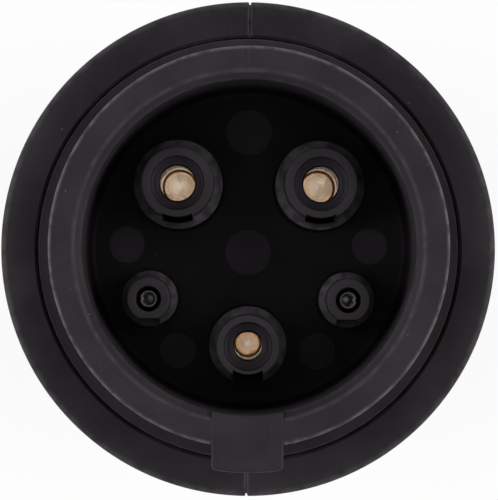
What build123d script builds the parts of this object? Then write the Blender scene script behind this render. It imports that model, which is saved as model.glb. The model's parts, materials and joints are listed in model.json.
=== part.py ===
from build123d import *
from math import cos, radians, sin, tan
import os

# Adapter between a five-pin charging inlet and a round five-socket charging plug.
# Origin: on the axis, in the plane of the rear rim. +Z runs towards the plug nose,
# +Y is up and +X is right when the plug face is looked at. All sizes are in mm.

os.makedirs("parts", exist_ok=True)

# Body: two half shells that meet in the plane X = 0
shell_bore = 21.5
shell_wall = 3.0
rim_width = 2.6
rim_rounding = 1.2
rear_taper = 15.0
flange_taper = 15.0
flange_band = 9.0
flange_width = 4.3
flange_crown = 0.6
flange_rounding = 1.0
groove_width = 2.9
lip_length = 1.5
lip_chamfer = 0.3
seam_width = 0.2
seam_depth = 0.3
locator_width = 4.0
locator_depth = 1.2

# Clearances between the pieces
seat_gap = 0.1
slide_gap = 0.1
loose_gap = 0.3
wire_gap = 0.3

# Pan-head screws: shares of the head's radius and height
drive_width_share = 0.25
drive_reach_share = 1.2
drive_depth_share = 0.6
head_rounding_share = 0.7
point_share = 0.4

# Shell screws, along X, two pairs above and below the axis
shell_screw_inset = 2.7
rear_screw_ahead = 7.0
front_screw_behind = 5.4
shell_screw_seat = 8.0
shell_screw_length = 17.0
shell_screw_radius = 1.45
shell_screw_head = 2.75
shell_screw_head_height = 1.9
screw_column_wall = 1.0

# Plug nose: keyed collar, recess floor, clamp flange and rear skirt in one moulding
collar_reach = 28.0
collar_radius = 21.9
collar_edge = 0.25
collar_wall = 3.63
mouth_chamfer = 0.9
recess_depth = 25.0
nose_floor = 4.0
clamp_reach = 1.6
clamp_thickness = 4.0
foot_gap = 0.2
foot_setback = 0.4
skirt_length = 6.0
key_width = 7.8
key_gap = 0.2
key_corner = 0.6
key_edge = 0.35
key_root = 1.0
key_proud = 0.06

# Towers round the sockets
tower_setback = 6.5
barrel_length = 7.0
shoulder_slope = 0.9
face_recess = 2.0
lip_thickness = 0.8
lip_gap = 0.05

power_x = 8.0
power_y = 7.1
power_barrel_radius = 4.03
power_boss_radius = 5.05
power_face_radius = 3.0
power_notch_width = 3.3
power_notch_root = 3.75
power_notch_depth = 0.6

ground_y = -11.0
ground_barrel_radius = 3.52
ground_boss_radius = 4.4
ground_face_radius = 2.7
ground_notch_width = 3.3
ground_notch_root = 3.08
ground_notch_depth = 1.6

signal_x = 11.1
signal_y = -5.8
signal_barrel_radius = 2.43
signal_boss_radius = 3.15
signal_hole_radius = 1.4
signal_hole_depth = 8.0
signal_notch_width = 2.2
signal_notch_flat = 2.12

# Ejector marks on the recess floor
mark_depth = 0.12
wide_mark_radius = 2.65
high_mark_y = 13.5
mid_mark_y = -0.45
small_mark_radius = 2.1
side_mark_x = 14.05
side_mark_y = 0.35
low_mark_x = 8.1
low_mark_y = -11.9

# Sockets
power_bore_radius = 1.95
power_socket_radius = 2.95
ground_bore_radius = 1.55
ground_socket_radius = 2.36
signal_bore_radius = 0.75
signal_socket_radius = 0.95
bore_depth = 17.0
bore_point = 0.4
bore_entry = 0.15
guide_length = 4.5
band_groove_length = 9.0
band_groove_depth = 0.45
signal_setback = 1.5
signal_bore_depth = 9.0
signal_slit_width = 0.3
signal_slit_length = 6.0
socket_shoulder = 2.0
power_shoulder_radius = 3.8
ground_shoulder_radius = 3.4
signal_shoulder_radius = 2.0

# Spring bands in the power and ground sockets
band_wall = 0.16
band_rim = 0.9
band_play = 0.05
band_slots = 10
band_slot_width = 0.3
band_squeeze = 0.2

# Crimp barrels and wires
crimp_length = 12.0
crimp_hole_depth = 9.0
crimp_play = 0.1
power_crimp_radius = 3.3
ground_crimp_radius = 2.8
signal_crimp_radius = 1.2
power_wire_radius = 3.0
power_core_radius = 2.25
ground_wire_radius = 2.5
ground_core_radius = 1.85
signal_wire_radius = 1.1
signal_core_radius = 0.55
core_reach = 8.0
wire_run = 23.0
wire_lead = 6.0
bend_share = 0.45

# Retainer plates and their screws
retainer_thickness = 3.0
retainer_screw_radius = 1.1
retainer_screw_length = 7.4
retainer_screw_head = 2.0
retainer_screw_head_height = 1.5
retainer_boss_radius = 2.5
front_screw_inset = 4.3
front_screw_angle = 34.2
rear_screw_top_y = 10.6
rear_screw_side_x = 15.0
rear_screw_side_y = -1.5

# Round-section seals
seal_section = 0.85
seal_squeeze = 0.05
seal_groove_play = 0.15

# Rear inlet
inlet_inset = 0.6
inlet_depth = 35.4
inlet_floor = 4.0
inlet_wall = 2.2
inlet_mouth_chamfer = 0.6
inlet_disc_reach = 2.4
inlet_disc_thickness = 4.6
inlet_clamp_reach = 1.5
inlet_clamp_setback = 2.0
inlet_clamp_thickness = 4.0
power_pocket_radius = 9.2
ground_pocket_radius = 6.6
signal_pocket_radius = 6.2
power_pin_x = 8.6
power_pin_y = 4.8
power_pin_radius = 4.0
power_pin_setback = 7.4
power_pin_shoulder = 5.6
ground_pin_y = -8.2
ground_pin_radius = 3.0
ground_pin_setback = 6.4
ground_pin_shoulder = 4.6
signal_pin_x = 9.2
signal_pin_y = -4.6
signal_pin_radius = 1.5
signal_pin_setback = 12.4
signal_pin_shoulder = 3.0
pin_shoulder = 2.0
pin_root = 0.6
pin_edge = 0.5
tip_length = 3.0
tip_stem_length = 3.0
power_stem_radius = 1.8
ground_stem_radius = 1.4
tip_rounding = 1.2

# Heights worked out from the sizes above, from the rear rim to the nose
inlet_disc_front = inlet_inset + inlet_disc_thickness
inlet_floor_back = inlet_inset + inlet_depth
inlet_floor_front = inlet_floor_back + inlet_floor
inlet_clamp_back = inlet_floor_back - inlet_clamp_setback
inlet_clamp_front = inlet_clamp_back + inlet_clamp_thickness
rear_plate_back = inlet_floor_front + pin_shoulder
rear_plate_front = rear_plate_back + retainer_thickness
rear_crimp_end = rear_plate_front + crimp_length
front_crimp_end = rear_crimp_end + wire_run
front_plate_back = front_crimp_end + crimp_length
front_plate_front = front_plate_back + retainer_thickness
floor_back = front_plate_front + socket_shoulder
floor_front = floor_back + nose_floor
nose_front = floor_front + recess_depth
collar_front = nose_front - key_proud
tower_front = nose_front - tower_setback
shoulder_front = tower_front - barrel_length
socket_front = tower_front - face_recess - lip_thickness - lip_gap
signal_front = tower_front - signal_setback
body_length = nose_front - collar_reach
foot_front = body_length - foot_setback
clamp_front = body_length - lip_length
clamp_back = clamp_front - clamp_thickness
skirt_back = clamp_back - skirt_length
rear_band = inlet_clamp_front + inlet_clamp_setback
waist_back = rear_band + rear_taper
flange_back = body_length - flange_band
waist_front = flange_back - flange_taper

# Radii worked out from the sizes above
mouth_radius = collar_radius - collar_wall
lip_radius = collar_radius + groove_width
flange_radius = lip_radius + flange_width
foot_radius = lip_radius - foot_gap
clamp_radius = lip_radius + clamp_reach
key_radius = lip_radius - key_gap
skirt_radius = shell_bore - loose_gap
waist_radius = shell_bore + shell_wall
inlet_clamp_radius = shell_bore + inlet_clamp_reach
inlet_disc_radius = shell_bore + inlet_disc_reach
mouth_bore = inlet_disc_radius + seat_gap
rear_radius = mouth_bore + rim_width
column_radius = shell_screw_head + slide_gap + screw_column_wall
seal_inset = seal_section + seal_squeeze

# Places across the axis, as x and y
power_spots = ((-power_x, power_y), (power_x, power_y))
ground_spots = ((0, ground_y),)
signal_spots = ((-signal_x, signal_y), (signal_x, signal_y))
front_screw_circle = mouth_radius - front_screw_inset
front_screw_low_x = front_screw_circle * sin(radians(front_screw_angle))
front_screw_low_y = -front_screw_circle * cos(radians(front_screw_angle))
front_screw_spots = (
    (0, front_screw_circle),
    (-front_screw_low_x, front_screw_low_y),
    (front_screw_low_x, front_screw_low_y),
)
rear_screw_spots = (
    (0, rear_screw_top_y),
    (-rear_screw_side_x, rear_screw_side_y),
    (rear_screw_side_x, rear_screw_side_y),
)
power_pin_spots = ((-power_pin_x, power_pin_y), (power_pin_x, power_pin_y))
ground_pin_spots = ((0, ground_pin_y),)
signal_pin_spots = ((-signal_pin_x, signal_pin_y), (signal_pin_x, signal_pin_y))
shell_screw_y = shell_bore - shell_screw_inset
shell_screw_zs = (rear_plate_front + rear_screw_ahead, skirt_back - front_screw_behind)
shell_screw_spots = [(y, z) for y in (-shell_screw_y, shell_screw_y) for z in shell_screw_zs]

CENTRED = Align.CENTER
UPWARD = (Align.CENTER, Align.CENTER, Align.MIN)
DOWNWARD = (Align.CENTER, Align.CENTER, Align.MAX)


def save(piece, label):
    """Label a finished piece and write it."""
    piece.part.label = label
    export_step(piece.part, f"parts/{label}.step")


def section_plane(x, y):
    """Plane through the upright line at x, y: its axes are radius and height."""
    return Plane(origin=(x, y, 0), x_dir=(1, 0, 0), z_dir=(0, -1, 0))


def upright(x, y):
    """Upright axis at x, y."""
    return Axis((x, y, 0), (0, 0, 1))


def pan_screw(head_radius, head_height, shank_radius, shank_length):
    """Pan-head screw with a cross recess, its seat at the origin and its head at +Z."""
    drive_reach = drive_reach_share * head_radius
    drive_width = drive_width_share * head_radius
    with BuildPart() as screw:
        with BuildSketch(Plane.XZ) as outline:
            with BuildLine():
                Polyline(
                    (0, head_height),
                    (0, -shank_length),
                    (point_share * shank_radius, -shank_length),
                    (shank_radius, shank_radius - shank_length),
                    (shank_radius, 0),
                    (head_radius, 0),
                    (head_radius, head_height),
                    close=True,
                )
            make_face()
            head_corner = outline.vertices().group_by(Axis.Y)[-1].sort_by(Axis.X)[-1]
            fillet(head_corner, head_rounding_share * head_height)
        revolve(axis=Axis.Z)
        with BuildSketch(Plane.XY.offset(head_height)):
            Rectangle(drive_reach, drive_width)
            Rectangle(drive_width, drive_reach)
        extrude(amount=-drive_depth_share * head_height, mode=Mode.SUBTRACT)
    return screw


def ring_seal(centre_radius, height):
    """Round-section seal about the body axis."""
    with BuildPart() as seal:
        with BuildSketch(Plane.XZ):
            with Locations((centre_radius, height)):
                Circle(seal_section)
        revolve(axis=Axis.Z)
    return seal


def seal_groove(centre_radius, outer_radius, height):
    """Ring to cut: the groove that a seal lies in, open at outer_radius."""
    depth = outer_radius - centre_radius + seal_section + seal_squeeze
    with BuildPart() as groove:
        with BuildSketch(Plane.XZ):
            with Locations((outer_radius - depth, height)):
                Rectangle(
                    2 * depth,
                    2 * (seal_section + seal_groove_play),
                    align=(Align.MIN, Align.CENTER),
                )
        revolve(axis=Axis.Z)
    return groove


def spring_band(x, y, bore_radius):
    """Waisted spring sleeve with slots, lying in the groove of the socket at x, y."""
    outer = bore_radius + band_groove_depth - band_play
    inner = outer - band_wall
    waist = bore_radius - band_squeeze
    front = socket_front - guide_length - band_play
    back = socket_front - guide_length - band_groove_length + band_play
    middle = (front + back) / 2
    with BuildPart() as band:
        with BuildSketch(section_plane(x, y)):
            with BuildLine():
                ThreePointArc(
                    (outer, back + band_rim),
                    (waist + band_wall, middle),
                    (outer, front - band_rim),
                )
                Polyline(
                    (outer, front - band_rim),
                    (outer, front),
                    (inner, front),
                    (inner, front - band_rim),
                )
                ThreePointArc(
                    (inner, front - band_rim),
                    (waist, middle),
                    (inner, back + band_rim),
                )
                Polyline(
                    (inner, back + band_rim),
                    (inner, back),
                    (outer, back),
                    (outer, back + band_rim),
                )
            make_face()
        revolve(axis=upright(x, y))
        with Locations((x, y, middle)):
            with PolarLocations(outer, band_slots):
                Box(outer, band_slot_width, front - back - 2 * band_rim, mode=Mode.SUBTRACT)
    return band


def banded_socket(x, y, bore_radius, body_radius, shoulder_radius, crimp_radius, core_radius):
    """Turned socket with a guide bore, a groove for its spring band and a crimp barrel."""
    groove_radius = bore_radius + band_groove_depth
    groove_front = socket_front - guide_length
    groove_back = groove_front - band_groove_length
    crimp_hole = core_radius + crimp_play
    with BuildPart() as socket:
        with BuildSketch(section_plane(x, y)):
            with BuildLine():
                Polyline(
                    (0, front_crimp_end + crimp_hole_depth),
                    (crimp_hole, front_crimp_end + crimp_hole_depth),
                    (crimp_hole, front_crimp_end),
                    (crimp_radius, front_crimp_end),
                    (crimp_radius, front_plate_front),
                    (shoulder_radius, front_plate_front),
                    (shoulder_radius, floor_back),
                    (body_radius, floor_back),
                    (body_radius, socket_front),
                    (bore_radius + bore_entry, socket_front),
                    (bore_radius, socket_front - bore_entry),
                    (bore_radius, groove_front),
                    (groove_radius, groove_front),
                    (groove_radius, groove_back),
                    (bore_radius, groove_back),
                    (bore_radius, socket_front - bore_depth),
                    (0, socket_front - bore_depth - bore_point),
                    close=True,
                )
            make_face()
        revolve(axis=upright(x, y))
    return socket


def split_socket(x, y):
    """Slender socket of a signal line: its slit faces outwards, away from the axis."""
    crimp_hole = signal_core_radius + crimp_play
    bore_back = signal_front - signal_bore_depth
    outward = signal_socket_radius if x > 0 else -signal_socket_radius
    with BuildPart() as socket:
        with BuildSketch(section_plane(x, y)):
            with BuildLine():
                Polyline(
                    (0, front_crimp_end + crimp_hole_depth),
                    (crimp_hole, front_crimp_end + crimp_hole_depth),
                    (crimp_hole, front_crimp_end),
                    (signal_crimp_radius, front_crimp_end),
                    (signal_crimp_radius, front_plate_front),
                    (signal_shoulder_radius, front_plate_front),
                    (signal_shoulder_radius, floor_back),
                    (signal_socket_radius, floor_back),
                    (signal_socket_radius, signal_front),
                    (signal_bore_radius, signal_front),
                    (signal_bore_radius, bore_back),
                    (0, bore_back - signal_bore_radius),
                    close=True,
                )
            make_face()
        revolve(axis=upright(x, y))
        with Locations((x + outward, y, signal_front)):
            Box(
                signal_socket_radius,
                signal_slit_width,
                signal_slit_length,
                align=DOWNWARD,
                mode=Mode.SUBTRACT,
            )
    return socket


def inlet_pin(x, y, start, radius, shoulder_radius, crimp_radius, core_radius, stem_radius=0):
    """Turned pin with a root in the inlet floor, a shoulder on it and a crimp barrel.

    A pin with a stem radius is bored for the stem of its plastic tip.
    """
    crimp_hole = core_radius + crimp_play
    with BuildPart() as pin:
        with BuildSketch(section_plane(x, y)):
            with BuildLine():
                Polyline(
                    (0, start),
                    (radius - pin_edge, start),
                    (radius, start + pin_edge),
                    (radius, inlet_floor_back),
                    (radius + pin_root, inlet_floor_back),
                    (radius + pin_root, inlet_floor_front),
                    (shoulder_radius, inlet_floor_front),
                    (shoulder_radius, rear_plate_back),
                    (crimp_radius, rear_plate_back),
                    (crimp_radius, rear_crimp_end),
                    (crimp_hole, rear_crimp_end),
                    (crimp_hole, rear_crimp_end - crimp_hole_depth),
                    (0, rear_crimp_end - crimp_hole_depth),
                    close=True,
                )
            make_face()
        revolve(axis=upright(x, y))
        if stem_radius > 0:
            with Locations((x, y, start)):
                Cylinder(
                    stem_radius + slide_gap,
                    tip_stem_length + loose_gap,
                    align=UPWARD,
                    mode=Mode.SUBTRACT,
                )
    return pin


def pin_tip(x, y, end, radius, stem_radius):
    """Plastic tip with a rounded nose, seated on a pin that starts at end."""
    tip_radius = radius - pin_edge
    with BuildPart() as tip:
        with BuildSketch(section_plane(x, y)) as outline:
            with BuildLine():
                Polyline(
                    (0, end - tip_length),
                    (0, end + tip_stem_length),
                    (stem_radius, end + tip_stem_length),
                    (stem_radius, end),
                    (tip_radius, end),
                    (tip_radius, end - tip_length),
                    close=True,
                )
            make_face()
            fillet(outline.vertices().group_by(Axis.Y)[0].sort_by(Axis.X)[-1], tip_rounding)
        revolve(axis=upright(x, y))
    return tip


def wire(front_spot, rear_spot, wire_radius, core_radius):
    """Insulated wire from a rear crimp barrel to a front one, with its bare ends."""
    start = Vector(*rear_spot, rear_crimp_end + wire_gap)
    end = Vector(*front_spot, front_crimp_end - wire_gap)
    lead = Vector(0, 0, wire_lead)
    slope = end - lead - start - lead
    turn = slope.get_angle(lead)
    bend_radius = bend_share * min(wire_lead, slope.length) / tan(radians(turn) / 2)
    with BuildPart() as cable:
        with BuildLine() as route:
            FilletPolyline(start, start + lead, end - lead, end, radius=bend_radius)
        with BuildSketch(Plane(origin=start, z_dir=(0, 0, 1))):
            Circle(wire_radius)
        sweep(path=route.line)
        with Locations(start):
            Cylinder(core_radius, core_reach, align=DOWNWARD)
        with Locations(end):
            Cylinder(core_radius, core_reach, align=UPWARD)
    return cable


# Outline of the body, as radius and height, and the shield shape of the inlet
with BuildSketch() as shell_outline:
    with BuildLine():
        Polyline((waist_radius, waist_back), (waist_radius, waist_front))
        for straight, end in (
            ((waist_radius, waist_back), (rear_radius, rear_band)),
            ((waist_radius, waist_front), (flange_radius, flange_back)),
        ):
            middle = ((straight[0] + end[0]) / 2, (straight[1] + end[1]) / 2)
            first = TangentArc(straight, middle, tangent=(0, end[1] - straight[1]))
            TangentArc(middle, end, tangent=first % 1)
        Polyline(
            (rear_radius, rear_band),
            (rear_radius, 0),
            (0, 0),
            (0, body_length),
            (lip_radius + lip_chamfer, body_length),
        )
        TangentArc(
            (lip_radius + lip_chamfer, body_length),
            (flange_radius, body_length - flange_crown),
            tangent=(1, 0),
        )
        Line((flange_radius, body_length - flange_crown), (flange_radius, flange_back))
    make_face()
    fillet(shell_outline.vertices().group_by(Axis.Y)[0].sort_by(Axis.X)[-1], rim_rounding)
    fillet(shell_outline.vertices().group_by(Axis.X)[-1].sort_by(Axis.Y)[-1], flange_rounding)

with BuildSketch() as seam_outline:
    add(shell_outline.sketch)
    offset(amount=-seam_depth, mode=Mode.SUBTRACT)

with BuildSketch() as shield:
    with Locations(*power_pin_spots):
        Circle(power_pocket_radius)
    with Locations(*signal_pin_spots):
        Circle(signal_pocket_radius)
    with Locations(*ground_pin_spots):
        Circle(ground_pocket_radius)
    make_hull()

with BuildPart() as plug_nose:
    # Turned body
    with BuildSketch(Plane.XZ):
        with BuildLine():
            Polyline(
                (0, floor_back),
                (mouth_radius, floor_back),
                (mouth_radius, skirt_back),
                (skirt_radius, skirt_back),
                (skirt_radius, clamp_back),
                (clamp_radius, clamp_back),
                (clamp_radius, clamp_front),
                (foot_radius, clamp_front),
                (foot_radius, foot_front),
                (collar_radius, foot_front),
                (collar_radius, collar_front - collar_edge),
                (collar_radius - collar_edge, collar_front),
                (mouth_radius + mouth_chamfer, collar_front),
                (mouth_radius, collar_front - mouth_chamfer),
                (mouth_radius, floor_front),
                (0, floor_front),
                close=True,
            )
        make_face()
    revolve(axis=Axis.Z)

    # Key along the foot of the collar, with a bevelled front edge
    key_straight = collar_reach + lip_length - key_edge
    for start, length, slope in ((clamp_front, key_straight, 0), (nose_front - key_edge, key_edge, 45)):
        with BuildSketch(Plane.XY.offset(start)) as key_outline:
            Circle(key_radius)
            with Locations((0, -key_radius)):
                Rectangle(
                    key_width,
                    2 * (key_radius - mouth_radius + key_root),
                    mode=Mode.INTERSECT,
                )
            fillet(key_outline.vertices().group_by(Axis.Y)[0], key_corner)
        extrude(amount=length, taper=slope)
    with Locations((0, 0, floor_front)):
        Cylinder(mouth_radius, recess_depth, align=UPWARD, mode=Mode.SUBTRACT)
    with Locations((0, 0, floor_back)):
        Cylinder(mouth_radius, floor_back - skirt_back, align=DOWNWARD, mode=Mode.SUBTRACT)

    # Stepped towers
    tower_kinds = (
        (power_spots, power_barrel_radius, power_boss_radius),
        (ground_spots, ground_barrel_radius, ground_boss_radius),
        (signal_spots, signal_barrel_radius, signal_boss_radius),
    )
    for spots, barrel_radius, boss_radius in tower_kinds:
        for x, y in spots:
            with Locations((x, y, floor_front)):
                Cylinder(boss_radius, shoulder_front - floor_front, align=UPWARD)
                Cylinder(barrel_radius, tower_front - floor_front, align=UPWARD)
            with Locations((x, y, shoulder_front)):
                Cone(boss_radius, barrel_radius, shoulder_slope, align=UPWARD)

    # Sockets' ways: a shallow face recess and a lip in front, a close bore behind
    way_kinds = (
        (power_spots, power_bore_radius, power_face_radius, power_socket_radius),
        (ground_spots, ground_bore_radius, ground_face_radius, ground_socket_radius),
    )
    for spots, bore_radius, face_radius, socket_radius in way_kinds:
        for x, y in spots:
            with Locations((x, y, tower_front)):
                CounterBoreHole(bore_radius + bore_entry + lip_gap, face_radius, face_recess)
            with Locations((x, y, floor_back)):
                Cylinder(
                    socket_radius + slide_gap,
                    socket_front + lip_gap - floor_back,
                    align=UPWARD,
                    mode=Mode.SUBTRACT,
                )
    for x, y in signal_spots:
        with Locations((x, y, tower_front)):
            CounterBoreHole(signal_socket_radius + slide_gap, signal_hole_radius, signal_hole_depth)

    # Drain notches under the towers: arcs down to the floor, and flats on the signal barrels
    notch_kinds = (
        (power_spots, power_notch_width, power_notch_root, power_notch_depth),
        (ground_spots, ground_notch_width, ground_notch_root, ground_notch_depth),
    )
    for spots, width, root, depth in notch_kinds:
        for x, y in spots:
            with BuildSketch(Plane(origin=(x, y, floor_front))):
                Circle(root + depth)
                Circle(root, mode=Mode.SUBTRACT)
                Rectangle(width, root + depth, align=(CENTRED, Align.MAX), mode=Mode.INTERSECT)
            extrude(amount=tower_front - floor_front, mode=Mode.SUBTRACT)
    for x, y in signal_spots:
        with Locations((x, y - signal_notch_flat, shoulder_front)):
            Box(
                signal_notch_width,
                signal_boss_radius,
                barrel_length,
                align=(CENTRED, Align.MAX, Align.MIN),
                mode=Mode.SUBTRACT,
            )

    # Ejector marks
    with Locations((0, high_mark_y, floor_front), (0, mid_mark_y, floor_front)):
        Hole(wide_mark_radius, mark_depth)
    with Locations(
        (-side_mark_x, side_mark_y, floor_front),
        (side_mark_x, side_mark_y, floor_front),
        (-low_mark_x, low_mark_y, floor_front),
        (low_mark_x, low_mark_y, floor_front),
    ):
        Hole(small_mark_radius, mark_depth)

    # Screw bosses behind the floor, with blind pilots
    for x, y in front_screw_spots:
        with Locations((x, y, front_plate_front)):
            Cylinder(retainer_boss_radius, socket_shoulder, align=UPWARD)
            Cylinder(
                retainer_screw_radius + slide_gap,
                retainer_screw_length - retainer_thickness + loose_gap,
                align=UPWARD,
                mode=Mode.SUBTRACT,
            )

    # Seal groove round the skirt and locator notches in the clamp flange
    front_seal_radius = shell_bore - seal_inset
    front_seal_z = (skirt_back + clamp_back) / 2
    add(seal_groove(front_seal_radius, skirt_radius, front_seal_z).part, mode=Mode.SUBTRACT)
    for side in (-1, 1):
        with Locations((side * clamp_radius, 0, clamp_back)):
            Box(
                2 * (locator_depth + slide_gap),
                locator_width + 2 * slide_gap,
                clamp_thickness,
                align=UPWARD,
                mode=Mode.SUBTRACT,
            )
save(plug_nose, "plug_nose")

front_seal = ring_seal(front_seal_radius, front_seal_z)
save(front_seal, "front_seal")

for side, spot in zip(("left", "right"), power_spots):
    socket = banded_socket(
        *spot,
        power_bore_radius,
        power_socket_radius,
        power_shoulder_radius,
        power_crimp_radius,
        power_core_radius,
    )
    save(socket, f"power_socket_{side}")
    save(spring_band(*spot, power_bore_radius), f"power_band_{side}")
ground_socket = banded_socket(
    0,
    ground_y,
    ground_bore_radius,
    ground_socket_radius,
    ground_shoulder_radius,
    ground_crimp_radius,
    ground_core_radius,
)
save(ground_socket, "ground_socket")
save(spring_band(0, ground_y, ground_bore_radius), "ground_band")
for side, spot in zip(("left", "right"), signal_spots):
    save(split_socket(*spot), f"signal_socket_{side}")

with BuildPart() as front_retainer:
    with BuildSketch(Plane.XY.offset(front_plate_back)):
        Circle(mouth_radius - loose_gap)
        with Locations(*power_spots):
            Circle(power_crimp_radius + slide_gap, mode=Mode.SUBTRACT)
        with Locations(*ground_spots):
            Circle(ground_crimp_radius + slide_gap, mode=Mode.SUBTRACT)
        with Locations(*signal_spots):
            Circle(signal_crimp_radius + slide_gap, mode=Mode.SUBTRACT)
        with Locations(*front_screw_spots):
            Circle(retainer_screw_radius + slide_gap, mode=Mode.SUBTRACT)
    extrude(amount=retainer_thickness)
save(front_retainer, "front_retainer")

retainer_screw = pan_screw(
    retainer_screw_head,
    retainer_screw_head_height,
    retainer_screw_radius,
    retainer_screw_length,
)
with BuildPart() as front_retainer_screws:
    for x, y in front_screw_spots:
        with Locations(Plane(origin=(x, y, front_plate_back), z_dir=(0, 0, -1))):
            add(retainer_screw.part)
save(front_retainer_screws, "front_retainer_screws")

with BuildPart() as inlet_housing:
    # Mouth disc, shield-shaped tube and clamp flange
    with BuildSketch(Plane.XY.offset(inlet_inset)):
        Circle(inlet_disc_radius)
    extrude(amount=inlet_disc_thickness)
    with BuildSketch(Plane.XY.offset(inlet_inset)):
        add(shield.sketch)
        offset(amount=inlet_wall)
    extrude(amount=inlet_depth + inlet_floor)
    with BuildSketch(Plane.XY.offset(inlet_clamp_back)):
        Circle(inlet_clamp_radius)
        for side in (-1, 1):
            with Locations((side * inlet_clamp_radius, 0)):
                Rectangle(
                    2 * (locator_depth + slide_gap),
                    locator_width + 2 * slide_gap,
                    mode=Mode.SUBTRACT,
                )
    extrude(amount=inlet_clamp_thickness)
    with BuildSketch(Plane.XY.offset(inlet_inset)):
        add(shield.sketch)
    extrude(amount=inlet_depth, mode=Mode.SUBTRACT)
    mouth_edges = inlet_housing.faces().sort_by(Axis.Z)[0].inner_wires().edges()
    chamfer(mouth_edges, inlet_mouth_chamfer)

    # Screw bosses with blind pilots, and the pins' holes
    for x, y in rear_screw_spots:
        with Locations((x, y, rear_plate_back)):
            Cylinder(retainer_boss_radius, pin_shoulder, align=DOWNWARD)
            Cylinder(
                retainer_screw_radius + slide_gap,
                retainer_screw_length - retainer_thickness + loose_gap,
                align=DOWNWARD,
                mode=Mode.SUBTRACT,
            )
    for spots, radius in (
        (power_pin_spots, power_pin_radius),
        (ground_pin_spots, ground_pin_radius),
        (signal_pin_spots, signal_pin_radius),
    ):
        for x, y in spots:
            with Locations((x, y, inlet_floor_front)):
                Hole(radius + pin_root + slide_gap, inlet_floor)

    # Seal groove round the mouth disc
    rear_seal_radius = inlet_disc_radius + seat_gap - seal_inset
    rear_seal_z = inlet_inset + inlet_disc_thickness / 2
    add(seal_groove(rear_seal_radius, inlet_disc_radius, rear_seal_z).part, mode=Mode.SUBTRACT)
save(inlet_housing, "inlet_housing")

rear_seal = ring_seal(rear_seal_radius, rear_seal_z)
save(rear_seal, "rear_seal")

for side, spot in zip(("left", "right"), power_pin_spots):
    metal_start = inlet_inset + power_pin_setback + tip_length
    pin = inlet_pin(
        *spot,
        metal_start,
        power_pin_radius,
        power_pin_shoulder,
        power_crimp_radius,
        power_core_radius,
        power_stem_radius,
    )
    save(pin, f"power_pin_{side}")
    save(pin_tip(*spot, metal_start, power_pin_radius, power_stem_radius), f"power_tip_{side}")
ground_start = inlet_inset + ground_pin_setback + tip_length
ground_pin = inlet_pin(
    0,
    ground_pin_y,
    ground_start,
    ground_pin_radius,
    ground_pin_shoulder,
    ground_crimp_radius,
    ground_core_radius,
    ground_stem_radius,
)
save(ground_pin, "ground_pin")
save(pin_tip(0, ground_pin_y, ground_start, ground_pin_radius, ground_stem_radius), "ground_tip")
for side, spot in zip(("left", "right"), signal_pin_spots):
    pin = inlet_pin(
        *spot,
        inlet_inset + signal_pin_setback,
        signal_pin_radius,
        signal_pin_shoulder,
        signal_crimp_radius,
        signal_core_radius,
    )
    save(pin, f"signal_pin_{side}")

with BuildPart() as rear_retainer:
    with BuildSketch(Plane.XY.offset(rear_plate_back)):
        add(shield.sketch)
        offset(amount=inlet_wall)
        with Locations(*power_pin_spots):
            Circle(power_crimp_radius + slide_gap, mode=Mode.SUBTRACT)
        with Locations(*ground_pin_spots):
            Circle(ground_crimp_radius + slide_gap, mode=Mode.SUBTRACT)
        with Locations(*signal_pin_spots):
            Circle(signal_crimp_radius + slide_gap, mode=Mode.SUBTRACT)
        with Locations(*rear_screw_spots):
            Circle(retainer_screw_radius + slide_gap, mode=Mode.SUBTRACT)
    extrude(amount=retainer_thickness)
save(rear_retainer, "rear_retainer")

with BuildPart() as rear_retainer_screws:
    for x, y in rear_screw_spots:
        with Locations((x, y, rear_plate_front)):
            add(retainer_screw.part)
save(rear_retainer_screws, "rear_retainer_screws")

for side, front_spot, rear_spot in zip(("left", "right"), power_spots, power_pin_spots):
    save(wire(front_spot, rear_spot, power_wire_radius, power_core_radius), f"power_wire_{side}")
ground_wire = wire(ground_spots[0], ground_pin_spots[0], ground_wire_radius, ground_core_radius)
save(ground_wire, "ground_wire")
for side, front_spot, rear_spot in zip(("left", "right"), signal_spots, signal_pin_spots):
    save(wire(front_spot, rear_spot, signal_wire_radius, signal_core_radius), f"signal_wire_{side}")

# Space inside the shells: bores and clamp grooves, less the screw columns and locators
with BuildPart() as hollow:
    rear_groove = inlet_clamp_radius + seat_gap
    front_groove = clamp_radius + seat_gap
    with BuildSketch(Plane.XZ):
        with BuildLine():
            Polyline(
                (0, 0),
                (mouth_bore, 0),
                (mouth_bore, inlet_disc_front),
                (shell_bore, inlet_disc_front),
                (shell_bore, inlet_clamp_back),
                (rear_groove, inlet_clamp_back),
                (rear_groove, inlet_clamp_front),
                (shell_bore, inlet_clamp_front),
                (shell_bore, clamp_back),
                (front_groove, clamp_back),
                (front_groove, clamp_front),
                (lip_radius, clamp_front),
                (lip_radius, body_length - lip_chamfer),
                (lip_radius + lip_chamfer, body_length),
                (0, body_length),
                close=True,
            )
        make_face()
    revolve(axis=Axis.Z)
    for y, z in shell_screw_spots:
        with Locations(Plane(origin=(0, y, z), z_dir=(1, 0, 0))):
            Cylinder(column_radius, 2 * shell_bore, mode=Mode.SUBTRACT)
    for groove_radius, z, height in (
        (rear_groove, inlet_clamp_back, inlet_clamp_thickness),
        (front_groove, clamp_back, clamp_thickness),
    ):
        for side in (-1, 1):
            with Locations((side * groove_radius, 0, z)):
                Box(
                    2 * (locator_depth + seat_gap),
                    locator_width,
                    height,
                    align=UPWARD,
                    mode=Mode.SUBTRACT,
                )

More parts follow.
